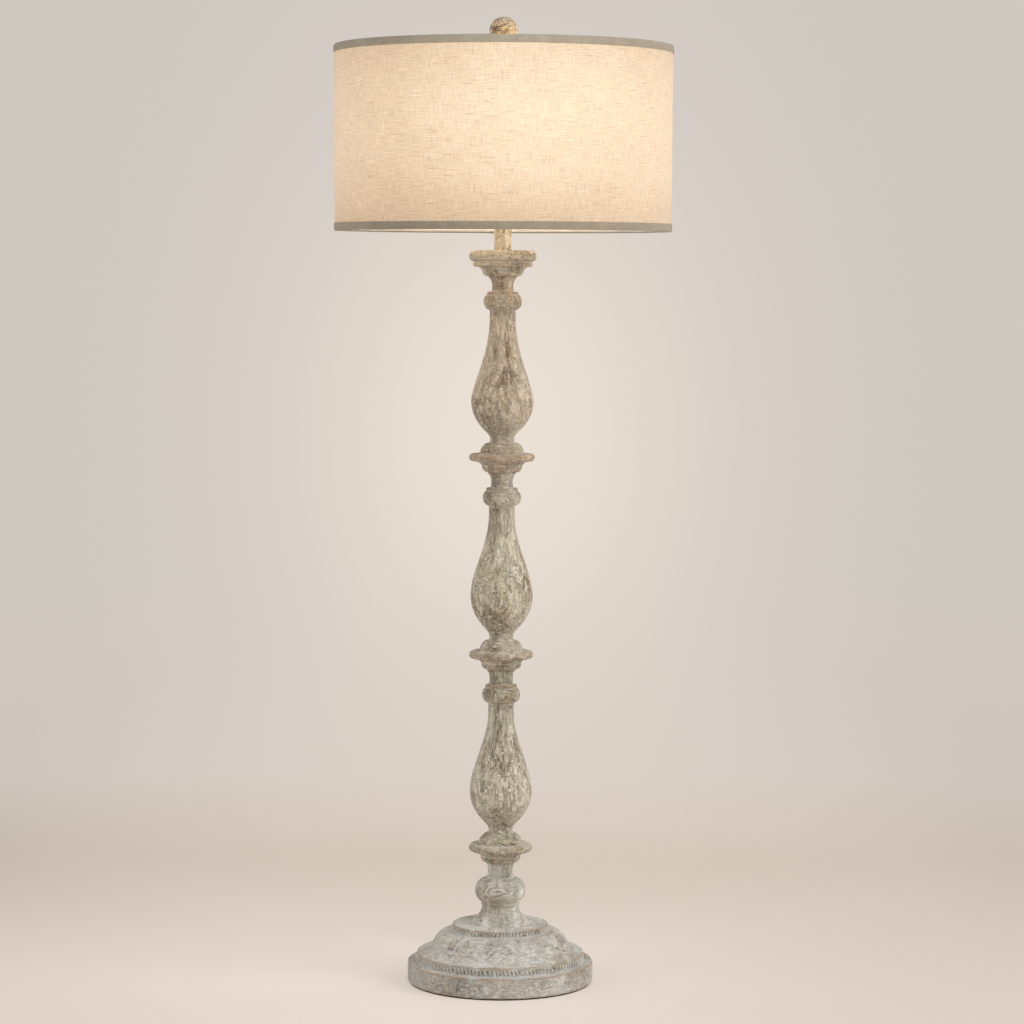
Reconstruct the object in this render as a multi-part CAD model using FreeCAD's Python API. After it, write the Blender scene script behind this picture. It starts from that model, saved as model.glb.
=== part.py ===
import FreeCAD, Part
import math
import os

# Candlestick floor lamp: a turned column on a stepped base, with a drum shade on a harp.
# Sizes are in millimetres and angles in degrees. The origin is the centre of the underside,
# +Z is up and the front faces -Y. Each piece is made where it sits in the finished lamp.

# ---------------------------------------------------------------- base
PAD_THICKNESS = 2.0
PAD_INSET = 2.6                 # the pad stays this far inside the plinth's edge
PLINTH_RADIUS = 142.6
PLINTH_HEIGHT = 30.4
LOWER_BAND_RADIUS = 128.6
LOWER_BAND_HEIGHT = 12.0
DOME_FOOT_LIP = 2.2             # rounded lip between the lower band and the dome
DOME_WAIST_RADIUS = 104.0       # where the hollow sweep meets the round shoulder
DOME_SWEEP_HEIGHT = 12.6
DOME_SWEEP_DEPTH = 1.6
DOME_SHOULDER_HEIGHT = 20.4
DOME_SHOULDER_FULLNESS = 6.4
UPPER_BAND_RADIUS = 73.4
UPPER_BAND_HEIGHT = 10.6
BAND_INSET = 2.4                # the dome's top ends this far outside the upper band
EDGE_ROUND = 1.4                # softened edges of the plinth and the bands
BASE_WALL = 9.0
LEDGE_WIDTH = 12.0              # ledge under the plinth's top that the ballast seats on
LEDGE_DROP = 6.0                # thickness of wood above that ledge
BALLAST_THICKNESS = 15.0
BALLAST_CLEARANCE = 1.0
CORD_CHANNEL_WIDTH = 11.0
CORD_CHANNEL_DEPTH = 8.0

# ---------------------------------------------------------------- cord inlet at the rear
INLET_HEIGHT = 12.5             # its axis above the floor
INLET_BORE_RADIUS = 3.75
BUSHING_WALL = 1.6
BUSHING_FLANGE_WIDTH = 2.4
BUSHING_FLANGE_THICKNESS = 1.6
BUSHING_CLEARANCE = 0.1

# ---------------------------------------------------------------- lamp pipe and its fittings
PIPE_RADIUS = 5.1
PIPE_WALL = 1.2
PIPE_CLEARANCE = 0.4            # between the pipe and the bores of the turned pieces
THREAD_CLEARANCE = 0.03         # between the pipe and what screws onto it
PIPE_END_GAP = 1.0              # between two pipes inside a coupling
PIPE_BOTTOM_STICKOUT = 1.6      # pipe below the bottom nut
COUPLING_WALL = 1.9
COUPLING_LENGTH = 18.0
COUPLING_CLEARANCE = 0.3
NUT_ACROSS_FLATS = 17.0
NUT_HEIGHT = 4.6
WASHER_RADIUS = 15.0
WASHER_THICKNESS = 1.8
SPIGOT_RADIUS = 11.5            # locating spigot under each turned piece
SPIGOT_LENGTH = 4.5
SPIGOT_CLEARANCE = 0.15
SPIGOT_END_GAP = 0.6

# ---------------------------------------------------------------- pedestal
PEDESTAL_FOOT_RADIUS = 48.0
PEDESTAL_RIDGE = 1.4            # thin ridge round its foot
PEDESTAL_WAIST_RADIUS = 28.4
PEDESTAL_FLARE_HEIGHT = 26.8
PEDESTAL_FLARE_SPREAD = 8.6     # how far the flare leans out near its foot
FLARE_FOOT_SHARE = 0.2          # share of the flare's rise where it turns in from the ridge
FLARE_WAIST_SHARE = 0.65        # share where it is already as narrow as the waist
PEDESTAL_COLLAR_RADIUS = 29.4   # small collar under the bulb
PEDESTAL_COLLAR_HEIGHT = 5.2
BULB_FOOT_RADIUS = 27.8
BULB_HEIGHT = 38.0
BULB_TOP_RADIUS = 23.4
BULB_FULLNESS = 13.5
PEDESTAL_NECK_RADIUS = 19.2
PEDESTAL_NECK_HEIGHT = 24.2

# ---------------------------------------------------------------- spindles, from the foot up
CUP_FOOT_RADIUS = 22.8
CUP_RADIUS = 30.6
CUP_ROUND_HEIGHT = 6.4
CUP_FULLNESS = 1.7
CUP_WALL_HEIGHT = 3.0
COVE_HEIGHT = 7.6
COVE_DEPTH = 2.4
FLANGE_UNDERCUT = 6.0           # the cove stops this far inside the flange's edge
FLANGE_THICKNESS = 11.2
SHOULDER_RADIUS = 33.4          # quarter-round shoulder that stands on the flange
SHOULDER_TOP_RADIUS = 23.4
SHOULDER_HEIGHT = 16.4
SHOULDER_FULLNESS = 3.0
LOWER_NECK_LIP_RADIUS = 19.4
LOWER_NECK_HEIGHT = 9.6
LOWER_NECK_DEPTH = 1.0
VASE_FOOT_RADIUS = 19.2
VASE_RADIUS = 47.8
VASE_FOOT_HOLD = 0.11           # share of the belly's rise that keeps the foot's width
VASE_FULLNESS = 0.63            # share of it that already has the belly's width
VASE_NECK_RADIUS = 19.8
BEAD_EDGE_RADIUS = 21.8
BEAD_RADIUS = 29.3
BEAD_TOP_RADIUS = 25.2
BEAD_HEIGHT = 22.6
BEAD_FILLET_RADIUS = 23.6
BEAD_FILLET_HEIGHT = 5.0
BEAD_FILLET_ROUND = 0.8
NECK_FOOT_STEP = 1.4            # a neck's foot stands out by this much
NECK_FOOT_SHARE = 0.25          # share of a neck's rise that narrows from its foot
NECK_LIP_SHARE = 0.25           # share of it that opens into the lip
SPINDLE_LIP_RADIUS = 21.8       # where a spindle ends under the next piece
SPINDLE_LIP_HEIGHT = 2.0
SPINDLE_NAMES = ["spindle_lower", "spindle_middle", "spindle_upper"]
# Turned by hand, so each spindle differs a little; the values run from the lower to the upper one.
FLANGE_RADIUS = [48.8, 49.4, 50.4]
VASE_BELLY_HEIGHT = [57.5, 60.5, 55.0]     # from the vase's foot to its widest place
VASE_TAPER_HEIGHT = [117.0, 127.5, 125.0]  # from there to the straight neck
VASE_NECK_HEIGHT = [19.1, 9.6, 13.6]
BELLY_HOLD = [0.29, 0.30, 0.18]            # share of the taper that keeps the belly's width
NECK_HOLD = [0.31, 0.45, 0.44]             # share of the taper that keeps the neck's width
UPPER_NECK_RADIUS = [17.6, 16.2, 15.8]
UPPER_NECK_HEIGHT = [24.1, 24.1, 23.6]

# ---------------------------------------------------------------- top cup and neck tube
TOP_CUP_ROUND_HEIGHT = 5.4
TOP_CUP_RADIUS = 30.6
TOP_CUP_WALL_HEIGHT = 4.2
TOP_CUP_WALL_FLARE = 2.0
TOP_CUP_COVE_HEIGHT = 4.6
TOP_CUP_COVE_DEPTH = 2.2
TOP_CUP_BAND_RADIUS = 45.6
TOP_CUP_BAND_HEIGHT = 7.8
TOP_CUP_GROOVE = 1.6
TOP_CUP_GROOVE_HEIGHT = 1.5
RIM_RADIUS = 50.9
RIM_LOWER_ROUND = 3.2
RIM_TOP_RADIUS = 47.0
RIM_HEIGHT = 15.75
RIM_FULLNESS = 2.0
NECK_RADIUS = 13.0
NECK_WALL = 3.0
NECK_SEAT_DEPTH = 4.0
NECK_CLEARANCE = 0.2
NECK_SHOWN_HEIGHT = 50.0        # from the cup's top to the end of the tube

# ---------------------------------------------------------------- lamp holder
SADDLE_THICKNESS = 1.8
SADDLE_WIDTH = 12.0
SADDLE_BEND = 3.0
SADDLE_TAB_HEIGHT = 12.0
SADDLE_PEG_RADIUS = 2.4
SADDLE_PEG_HEIGHT = 9.0
SADDLE_COLLAR_RADIUS = 3.8
SADDLE_COLLAR_HEIGHT = 2.0
CAP_HEIGHT = 17.0
CAP_HUB_RADIUS = 8.0
CAP_HUB_HEIGHT = 6.0
CAP_WALL = 0.8
CAP_ROUND_HEIGHT = 7.6          # height of the round between the hub and the straight wall
CAP_FULLNESS = 2.4
SHELL_RADIUS = 15.6
SHELL_WALL = 0.6
SHELL_LAP = 4.0                 # the shell goes this far down into the cap
SHELL_CLEARANCE = 0.2           # between the shell and the cap round it
SHELL_HEIGHT = 49.0
SHELL_RIB_FOOT = 38.2           # the rolled rib's foot above the shell's foot
SHELL_RIB_HEIGHT = 3.0
SHELL_RIB_DEPTH = 0.7
SLEEVE_GAP = 0.3
SLEEVE_WALL = 0.6
INTERIOR_GAP = 0.3
INTERIOR_HEIGHT = 17.0
SCREW_CLEARANCE = 0.35          # between the bulb's cap and the screw shell
SCREW_SHELL_WALL = 0.4
SCREW_SHELL_HEIGHT = 29.0
SCREW_SHELL_FLOOR = 1.0
SCREW_SHELL_MOUTH = 6.0         # radius of the hole round the centre contact
CENTRE_CONTACT_RADIUS = 3.2
CENTRE_CONTACT_HEIGHT = 2.6
TERMINAL_POCKET_GAP = 0.4       # round and over each terminal screw's head
TERMINAL_HEAD_RADIUS = 3.0
TERMINAL_HEAD_HEIGHT = 1.8
TERMINAL_SHANK_RADIUS = 1.6
TERMINAL_SHANK_LENGTH = 5.0
KEY_ABOVE_CAP = 4.6             # the key's axis above the cap's rim
KEY_SHAFT_RADIUS = 1.6
KEY_SHAFT_FIT = 0.05
KEY_HOLE_CLEARANCE = 0.5
KEY_SHAFT_DEPTH = 8.0           # how deep the shaft goes into the interior
KEY_STANDOFF = 9.0              # knob's back face from the shell
KEY_KNOB_RADIUS = 5.6
KEY_KNOB_LENGTH = 11.0
KEY_EDGE_ROUND = 0.65
KEY_FLUTE_RADIUS = 1.3
KEY_FLUTES = 8
KEY_FLUTE_DEPTH = 0.9
KEY_NOSE = 1.0                  # plain end of the knob, in front of the flutes

# ---------------------------------------------------------------- bulb
BULB_CAP_RADIUS = 13.0
BULB_CAP_HEIGHT = 22.0
BULB_CAP_WALL = 0.6
BULB_TIP_HEIGHT = 3.4           # insulator below the screw cap
BULB_TIP_RADIUS = 8.0
BULB_CONTACT_RADIUS = 4.2
BULB_CONTACT_HEIGHT = 1.6
BULB_SEAT_GAP = 0.3             # over the holder's centre contact
GLOBE_RADIUS = 30.0
GLOBE_HEIGHT = 82.0             # glass above the screw cap
GLOBE_NECK_HOLD = 0.3           # share of the glass's widening that keeps the neck's width
GLOBE_SHOULDER_HOLD = 0.4       # share of it that already has the full width
GLASS_WALL = 1.2
GLASS_DIP = 6.0                 # glass inside the screw cap
GLASS_FIT = 0.2
STEM_RADIUS = 4.0
STEM_HEIGHT = 38.0
FILAMENT_RADIUS = 0.8
FILAMENT_SPREAD = 9.0
FILAMENT_LENGTH = 26.0
FILAMENT_SLOPE = 3.0            # rise of each end from the stem to the upright part
FILAMENT_TOP_MARGIN = 2.0       # stem left above the filaments
FILAMENTS = 4

# ---------------------------------------------------------------- harp
HARP_WIRE_RADIUS = 2.0
HARP_LEG_SPREAD = 31.0          # from the axis to each leg
HARP_BELLY_SPREAD = 56.0        # widest half width
HARP_LEG_HEIGHT = 30.0          # straight part above the pegs
HARP_FLARE_HEIGHT = 26.0
HARP_BELLY_HEIGHT = 62.0
HARP_HEIGHT = 205.0             # from the pegs to the centre of the crest
HARP_CREST_SPREAD = 27.0
HARP_BEND = 28.0
HARP_EYE_RADIUS = 7.0
HARP_EYE_HEIGHT = 5.0
FERRULE_WALL = 1.1
FERRULE_FIT = 0.1
FERRULE_LENGTH = 15.0
FERRULE_LIP = 0.9
FERRULE_LIP_HEIGHT = 2.6
POST_SHANK_RADIUS = 2.2
POST_SHANK_FIT = 0.06
POST_END_PLAY = 0.15
POST_HEAD_RADIUS = 4.0
POST_HEAD_HEIGHT = 1.4
POST_TABLE_RADIUS = 9.0
POST_TABLE_HEIGHT = 2.4
POST_STUD_RADIUS = 3.1
POST_STUD_HEIGHT = 21.0
LIFT_OFF_CLEARANCE = 0.3        # round what lifts off the stud

# ---------------------------------------------------------------- shade
SHADE_RADIUS = 256.2            # outer radius at the bottom edge
SHADE_FLARE = 1.0               # the top edge is this much wider on each side
SHADE_HEIGHT = 278.6
FABRIC_THICKNESS = 0.8
LINER_THICKNESS = 0.8
TRIM_THICKNESS = 0.7
TRIM_HEIGHT = 11.2
RING_WIRE_RADIUS = 1.9
SPIDER_ARMS = 3
SPIDER_FIRST_ARM_ANGLE = 90.0
SPIDER_WIRE_RADIUS = 2.0
SPIDER_DROP = 14.4              # hub's middle below the top ring's middle
SPIDER_RAMP = 30.0
SPIDER_BEND = 18.0
SPIDER_HUB_RADIUS = 14.0
SPIDER_HUB_HEIGHT = 4.6

# ---------------------------------------------------------------- finial
FINIAL_RADIUS = 21.7
FINIAL_INSERT_RADIUS = 6.4
FINIAL_INSERT_LENGTH = 21.5
FINIAL_INSERT_DEPTH = 6.0       # the insert goes this far into the ball
FINIAL_INSERT_FIT = 0.05
FINIAL_COLLAR_RADIUS = 10.0
FINIAL_COLLAR_HEIGHT = 2.4


# ---------------------------------------------------------------- heights that follow from these
NUT_RADIUS = NUT_ACROSS_FLATS / math.sqrt(3)
COUPLING_RADIUS = PIPE_RADIUS + COUPLING_WALL
PLINTH_TOP = PAD_THICKNESS + PLINTH_HEIGHT
LEDGE_HEIGHT = PLINTH_TOP - LEDGE_DROP
BALLAST_BOTTOM = LEDGE_HEIGHT - BALLAST_THICKNESS
DOME_HEIGHT = DOME_FOOT_LIP + DOME_SWEEP_HEIGHT + DOME_SHOULDER_HEIGHT
BASE_TOP = PLINTH_TOP + LOWER_BAND_HEIGHT + DOME_HEIGHT + UPPER_BAND_HEIGHT
PEDESTAL_HEIGHT = (PEDESTAL_RIDGE + PEDESTAL_FLARE_HEIGHT + PEDESTAL_COLLAR_HEIGHT
                   + BULB_HEIGHT + PEDESTAL_NECK_HEIGHT)
MOULDINGS_BELOW_VASE = (CUP_ROUND_HEIGHT + CUP_WALL_HEIGHT + COVE_HEIGHT + FLANGE_THICKNESS
                        + SHOULDER_HEIGHT + LOWER_NECK_HEIGHT)
BEAD_AND_FILLET = BEAD_HEIGHT + BEAD_FILLET_HEIGHT
SEAMS = [BASE_TOP + PEDESTAL_HEIGHT]
for rises in zip(VASE_BELLY_HEIGHT, VASE_TAPER_HEIGHT, VASE_NECK_HEIGHT, UPPER_NECK_HEIGHT):
    SEAMS.append(SEAMS[-1] + MOULDINGS_BELOW_VASE + BEAD_AND_FILLET + sum(rises))
TOP_CUP_FOOT = SEAMS[-1]
TOP_CUP_TOP = (TOP_CUP_FOOT + TOP_CUP_ROUND_HEIGHT + TOP_CUP_WALL_HEIGHT + TOP_CUP_COVE_HEIGHT
               + TOP_CUP_BAND_HEIGHT + TOP_CUP_GROOVE_HEIGHT + RIM_HEIGHT)
NECK_TOP = TOP_CUP_TOP + NECK_SHOWN_HEIGHT
NECK_NUT_FOOT = NECK_TOP + WASHER_THICKNESS
SADDLE_FOOT = NECK_NUT_FOOT + NUT_HEIGHT
CAP_FOOT = SADDLE_FOOT + SADDLE_THICKNESS
PEG_FOOT = SADDLE_FOOT + SADDLE_TAB_HEIGHT + SADDLE_COLLAR_HEIGHT
HARP_FOOT = PEG_FOOT + SADDLE_PEG_HEIGHT
HARP_CREST = HARP_FOOT + HARP_HEIGHT
SHELL_FOOT = CAP_FOOT + CAP_HEIGHT - SHELL_LAP
KEY_HEIGHT = CAP_FOOT + CAP_HEIGHT + KEY_ABOVE_CAP
INTERIOR_FOOT = KEY_HEIGHT - INTERIOR_HEIGHT / 2
INTERIOR_TOP = INTERIOR_FOOT + INTERIOR_HEIGHT
SLEEVE_RADIUS = SHELL_RADIUS - SHELL_WALL - SLEEVE_GAP
INTERIOR_RADIUS = SLEEVE_RADIUS - SLEEVE_WALL - INTERIOR_GAP
BULB_CONTACT_FOOT = INTERIOR_TOP + SCREW_SHELL_FLOOR + CENTRE_CONTACT_HEIGHT + BULB_SEAT_GAP
BULB_CAP_FOOT = BULB_CONTACT_FOOT + BULB_CONTACT_HEIGHT + BULB_TIP_HEIGHT
GLASS_FOOT = BULB_CAP_FOOT + BULB_CAP_HEIGHT
POST_TABLE_FOOT = HARP_CREST + HARP_EYE_HEIGHT / 2 + POST_END_PLAY
HUB_FOOT = POST_TABLE_FOOT + POST_TABLE_HEIGHT
HUB_MIDDLE = HUB_FOOT + SPIDER_HUB_HEIGHT / 2
RING_MIDDLE = HUB_MIDDLE + SPIDER_DROP
SHADE_TOP = RING_MIDDLE + RING_WIRE_RADIUS
SHADE_BOTTOM = SHADE_TOP - SHADE_HEIGHT
FINIAL_INSERT_FOOT = HUB_FOOT + SPIDER_HUB_HEIGHT
BALL_MIDDLE = FINIAL_INSERT_FOOT + FINIAL_INSERT_LENGTH - FINIAL_INSERT_DEPTH + FINIAL_RADIUS


# ---------------------------------------------------------------- drawing helpers
def at(radius, height):
    return FreeCAD.Vector(radius, 0, height)


QUARTER_ROUND_FULLNESS = 1 - math.cos(math.pi / 4)    # for a radius of 1


class Outline:
    """Half of a turned section. It is drawn from the foot upwards, by radius and by rise."""

    def __init__(self, radius, height):
        self.start = at(radius, height)
        self.end = self.start
        self.edges = []

    def add(self, curve, end):
        self.edges.append(curve.toShape())
        self.end = end
        return self

    def line(self, radius, rise=0.0):
        end = at(radius, self.end.z + rise)
        return self.add(Part.LineSegment(self.end, end), end)

    def arc(self, radius, rise, fullness):
        """An arc whose middle stands off its chord by the fullness; a hollow has it below zero."""
        end = at(radius, self.end.z + rise)
        chord = end - self.end
        outwards = FreeCAD.Vector(chord.z, 0, -chord.x).normalize()
        middle = (self.end + end) * 0.5 + outwards * fullness
        return self.add(Part.Arc(self.end, middle, end), end)

    def corner(self, across, rise):
        """A softened edge: a quarter circle that goes across and up by the same amount."""
        return self.arc(self.end.x + across, rise, abs(across) * QUARTER_ROUND_FULLNESS)

    def ease(self, radius, rise, first_hold, last_hold):
        """A smooth S, parallel to the axis at both ends; a hold is the share that keeps an end's radius."""
        end = at(radius, self.end.z + rise)
        leaving = at(self.end.x, self.end.z + first_hold * rise)
        arriving = at(radius, end.z - last_hold * rise)
        return self.cubic(leaving, arriving, end)

    def cubic(self, first_pole, second_pole, end):
        curve = Part.BezierCurve()
        curve.setPoles([self.end, first_pole, second_pole, end])
        return self.add(curve, end)

    def spin(self, hollow=False):
        """Closes the section, along the axis unless it is hollow, and turns it into a solid."""
        corners = [self.end, self.start]
        if not hollow:
            corners = [self.end, at(0, self.end.z), at(0, self.start.z), self.start]
        for first, second in zip(corners, corners[1:]):
            if not first.isEqual(second, 1e-9):
                self.edges.append(Part.makeLine(first, second))
        face = Part.Face(Part.Wire(self.edges))
        return face.revolve(at(0, 0), FreeCAD.Vector(0, 0, 1), 360)


def rod(radius, low, high):
    return Part.makeCylinder(radius, high - low, at(0, low))


def tube(outer, inner, low, high):
    return rod(outer, low, high).cut(rod(inner, low, high))


def side_rod(radius, near, far, height):
    """A rod that lies along Y, from near to far."""
    return Part.makeCylinder(radius, abs(far - near), FreeCAD.Vector(0, near, height),
                             FreeCAD.Vector(0, math.copysign(1, far - near), 0))


def ring(radius, wire_radius, height):
    return Part.makeTorus(radius, wire_radius, at(0, height))


def washer(foot):
    return tube(WASHER_RADIUS, PIPE_RADIUS + PIPE_CLEARANCE, foot, foot + WASHER_THICKNESS)


def hexagon_nut(foot):
    corners = [FreeCAD.Vector(NUT_RADIUS * math.cos(math.radians(60 * side)),
                              NUT_RADIUS * math.sin(math.radians(60 * side)), foot)
               for side in range(7)]
    prism = Part.Face(Part.makePolygon(corners)).extrude(FreeCAD.Vector(0, 0, NUT_HEIGHT))
    return prism.cut(rod(PIPE_RADIUS + THREAD_CLEARANCE, foot, foot + NUT_HEIGHT))


def rounded_path(points, bend):
    """Straight runs through the points, joined by arcs of one bend radius."""
    edges = []
    here = points[0]
    for before, corner, after in zip(points, points[1:], points[2:]):
        towards = (before - corner).normalize()
        away = (after - corner).normalize()
        half_turn = towards.getAngle(away) / 2
        cut_back = bend / math.tan(half_turn)
        first = corner + towards * cut_back
        last = corner + away * cut_back
        bisector = (towards + away).normalize()
        middle = corner + bisector * (bend / math.sin(half_turn) - bend)
        edges.append(Part.makeLine(here, first))
        edges.append(Part.Arc(first, middle, last).toShape())
        here = last
    edges.append(Part.makeLine(here, points[-1]))
    return Part.Wire(edges)


def wire_rod(path, radius):
    """A round rod along a path of straight runs and arcs."""
    start = path.Edges[0].valueAt(path.Edges[0].FirstParameter)
    direction = path.Edges[0].tangentAt(path.Edges[0].FirstParameter)
    circle = Part.Wire(Part.makeCircle(radius, start, direction))
    return path.makePipeShell([circle], True, False)


def turned(shape, degrees):
    copy = shape.copy()
    copy.rotate(at(0, 0), FreeCAD.Vector(0, 0, 1), degrees)
    return copy


def side_by_side(spacing, make_one):
    """The same piece on the left and on the right of the axis."""
    right = make_one()
    right.translate(FreeCAD.Vector(spacing, 0, 0))
    return right.mirror(at(0, 0), FreeCAD.Vector(1, 0, 0)), right


# ---------------------------------------------------------------- base
def floor_pad():
    return rod(PLINTH_RADIUS - PAD_INSET, 0, PAD_THICKNESS)


def base_outline():
    """Plinth, lower band, ogee dome and upper band, from the foot to the flat top."""
    outline = Outline(PLINTH_RADIUS - EDGE_ROUND, PAD_THICKNESS)
    outline.corner(EDGE_ROUND, EDGE_ROUND)
    outline.line(PLINTH_RADIUS, PLINTH_HEIGHT - 2 * EDGE_ROUND)
    outline.corner(-EDGE_ROUND, EDGE_ROUND)
    outline.line(LOWER_BAND_RADIUS)
    outline.line(LOWER_BAND_RADIUS, LOWER_BAND_HEIGHT)
    outline.corner(-DOME_FOOT_LIP, DOME_FOOT_LIP)
    outline.arc(DOME_WAIST_RADIUS, DOME_SWEEP_HEIGHT, -DOME_SWEEP_DEPTH)
    outline.arc(UPPER_BAND_RADIUS + BAND_INSET, DOME_SHOULDER_HEIGHT, DOME_SHOULDER_FULLNESS)
    outline.line(UPPER_BAND_RADIUS)
    outline.line(UPPER_BAND_RADIUS, UPPER_BAND_HEIGHT - EDGE_ROUND)
    outline.corner(-EDGE_ROUND, EDGE_ROUND)
    return outline


def base_hollow():
    """The space under the base: wide in the plinth, stepped in above the ballast's ledge."""
    outline = Outline(PLINTH_RADIUS - BASE_WALL, PAD_THICKNESS)
    outline.line(PLINTH_RADIUS - BASE_WALL, LEDGE_HEIGHT - PAD_THICKNESS)
    outline.line(LOWER_BAND_RADIUS - LEDGE_WIDTH)
    outline.line(LOWER_BAND_RADIUS - LEDGE_WIDTH, LEDGE_DROP + LOWER_BAND_HEIGHT - BASE_WALL / 2)
    outline.line(DOME_WAIST_RADIUS - BASE_WALL, DOME_FOOT_LIP + DOME_SWEEP_HEIGHT)
    outline.line(UPPER_BAND_RADIUS - BASE_WALL, DOME_SHOULDER_HEIGHT - BASE_WALL)
    return outline.spin()


def base_body():
    body = base_outline().spin().cut(base_hollow())
    body = body.cut(spigot_socket(BASE_TOP))
    body = body.cut(rod(PIPE_RADIUS + PIPE_CLEARANCE, PAD_THICKNESS, BASE_TOP))
    inlet = INLET_BORE_RADIUS + BUSHING_WALL + BUSHING_CLEARANCE
    body = body.cut(side_rod(inlet, PLINTH_RADIUS / 2, PLINTH_RADIUS * 2, INLET_HEIGHT))
    spot_face = inlet + BUSHING_FLANGE_WIDTH
    return body.cut(side_rod(spot_face, bushing_seat(), PLINTH_RADIUS * 2, INLET_HEIGHT))


def bushing_seat():
    """Depth of the spot face: the flange's outer face stays just inside the plinth's round side."""
    flange = INLET_BORE_RADIUS + BUSHING_WALL + BUSHING_FLANGE_WIDTH
    return math.sqrt(PLINTH_RADIUS ** 2 - flange ** 2) - BUSHING_FLANGE_THICKNESS


def cord_bushing():
    sleeve = INLET_BORE_RADIUS + BUSHING_WALL
    seat = bushing_seat()
    body = side_rod(sleeve, PLINTH_RADIUS - BASE_WALL, seat, INLET_HEIGHT)
    flange = side_rod(sleeve + BUSHING_FLANGE_WIDTH, seat, seat + BUSHING_FLANGE_THICKNESS, INLET_HEIGHT)
    body = body.fuse(flange)
    return body.cut(side_rod(INLET_BORE_RADIUS, PLINTH_RADIUS / 2, PLINTH_RADIUS * 2, INLET_HEIGHT))


def ballast_weight():
    radius = PLINTH_RADIUS - BASE_WALL - BALLAST_CLEARANCE
    disc = rod(radius, BALLAST_BOTTOM, LEDGE_HEIGHT)
    disc = disc.makeFillet(EDGE_ROUND, disc.Edges)
    channel = Part.makeBox(CORD_CHANNEL_WIDTH, radius, CORD_CHANNEL_DEPTH,
                           FreeCAD.Vector(-CORD_CHANNEL_WIDTH / 2, WASHER_RADIUS, BALLAST_BOTTOM))
    return disc.cut(channel).cut(rod(PIPE_RADIUS + PIPE_CLEARANCE, BALLAST_BOTTOM, LEDGE_HEIGHT))


def bottom_washer():
    return washer(BALLAST_BOTTOM - WASHER_THICKNESS)


# ---------------------------------------------------------------- column
def pedestal_outline():
    outline = Outline(PEDESTAL_FOOT_RADIUS, BASE_TOP)
    outline.line(PEDESTAL_FOOT_RADIUS - PEDESTAL_RIDGE, PEDESTAL_RIDGE)
    foot = outline.end.z
    waist = PEDESTAL_WAIST_RADIUS
    outline.cubic(at(waist + PEDESTAL_FLARE_SPREAD, foot + FLARE_FOOT_SHARE * PEDESTAL_FLARE_HEIGHT),
                  at(waist, foot + FLARE_WAIST_SHARE * PEDESTAL_FLARE_HEIGHT),
                  at(waist, foot + PEDESTAL_FLARE_HEIGHT))
    outline.line(BULB_FOOT_RADIUS)
    outline.arc(BULB_FOOT_RADIUS, PEDESTAL_COLLAR_HEIGHT, PEDESTAL_COLLAR_RADIUS - BULB_FOOT_RADIUS)
    outline.arc(BULB_TOP_RADIUS, BULB_HEIGHT, BULB_FULLNESS)
    add_neck(outline, PEDESTAL_NECK_RADIUS, PEDESTAL_NECK_HEIGHT)
    return outline


def add_neck(outline, radius, height):
    """A hollow neck from the piece's last moulding to the lip under the next piece."""
    rise = height - SPINDLE_LIP_HEIGHT
    outline.line(radius + NECK_FOOT_STEP)
    outline.cubic(at(radius, outline.end.z + NECK_FOOT_SHARE * rise),
                  at(radius - NECK_FOOT_STEP, outline.end.z + (1 - NECK_LIP_SHARE) * rise),
                  at(SPINDLE_LIP_RADIUS, outline.end.z + rise))
    outline.line(SPINDLE_LIP_RADIUS, SPINDLE_LIP_HEIGHT)


def spindle_outline(number):
    """Cup, cove, flange, shoulder, hollow, vase, bead with its fillet, and neck."""
    flange_round = FLANGE_THICKNESS / 2
    outline = Outline(CUP_FOOT_RADIUS, SEAMS[number])
    outline.arc(CUP_RADIUS, CUP_ROUND_HEIGHT, CUP_FULLNESS)
    outline.line(CUP_RADIUS, CUP_WALL_HEIGHT)
    outline.arc(FLANGE_RADIUS[number] - FLANGE_UNDERCUT, COVE_HEIGHT, -COVE_DEPTH)
    outline.line(FLANGE_RADIUS[number] - flange_round)
    outline.arc(FLANGE_RADIUS[number] - flange_round, FLANGE_THICKNESS, flange_round)
    outline.line(SHOULDER_RADIUS)
    outline.arc(SHOULDER_TOP_RADIUS, SHOULDER_HEIGHT, SHOULDER_FULLNESS)
    outline.line(LOWER_NECK_LIP_RADIUS)
    outline.arc(VASE_FOOT_RADIUS, LOWER_NECK_HEIGHT, -LOWER_NECK_DEPTH)
    outline.ease(VASE_RADIUS, VASE_BELLY_HEIGHT[number], VASE_FOOT_HOLD, VASE_FULLNESS)
    outline.ease(VASE_NECK_RADIUS, VASE_TAPER_HEIGHT[number], BELLY_HOLD[number], NECK_HOLD[number])
    outline.line(VASE_NECK_RADIUS, VASE_NECK_HEIGHT[number])
    outline.line(BEAD_EDGE_RADIUS)
    outline.arc(BEAD_TOP_RADIUS, BEAD_HEIGHT, BEAD_RADIUS - (BEAD_EDGE_RADIUS + BEAD_TOP_RADIUS) / 2)
    outline.line(BEAD_FILLET_RADIUS)
    outline.arc(BEAD_FILLET_RADIUS, BEAD_FILLET_HEIGHT, BEAD_FILLET_ROUND)
    add_neck(outline, UPPER_NECK_RADIUS[number], UPPER_NECK_HEIGHT[number])
    return outline


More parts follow.
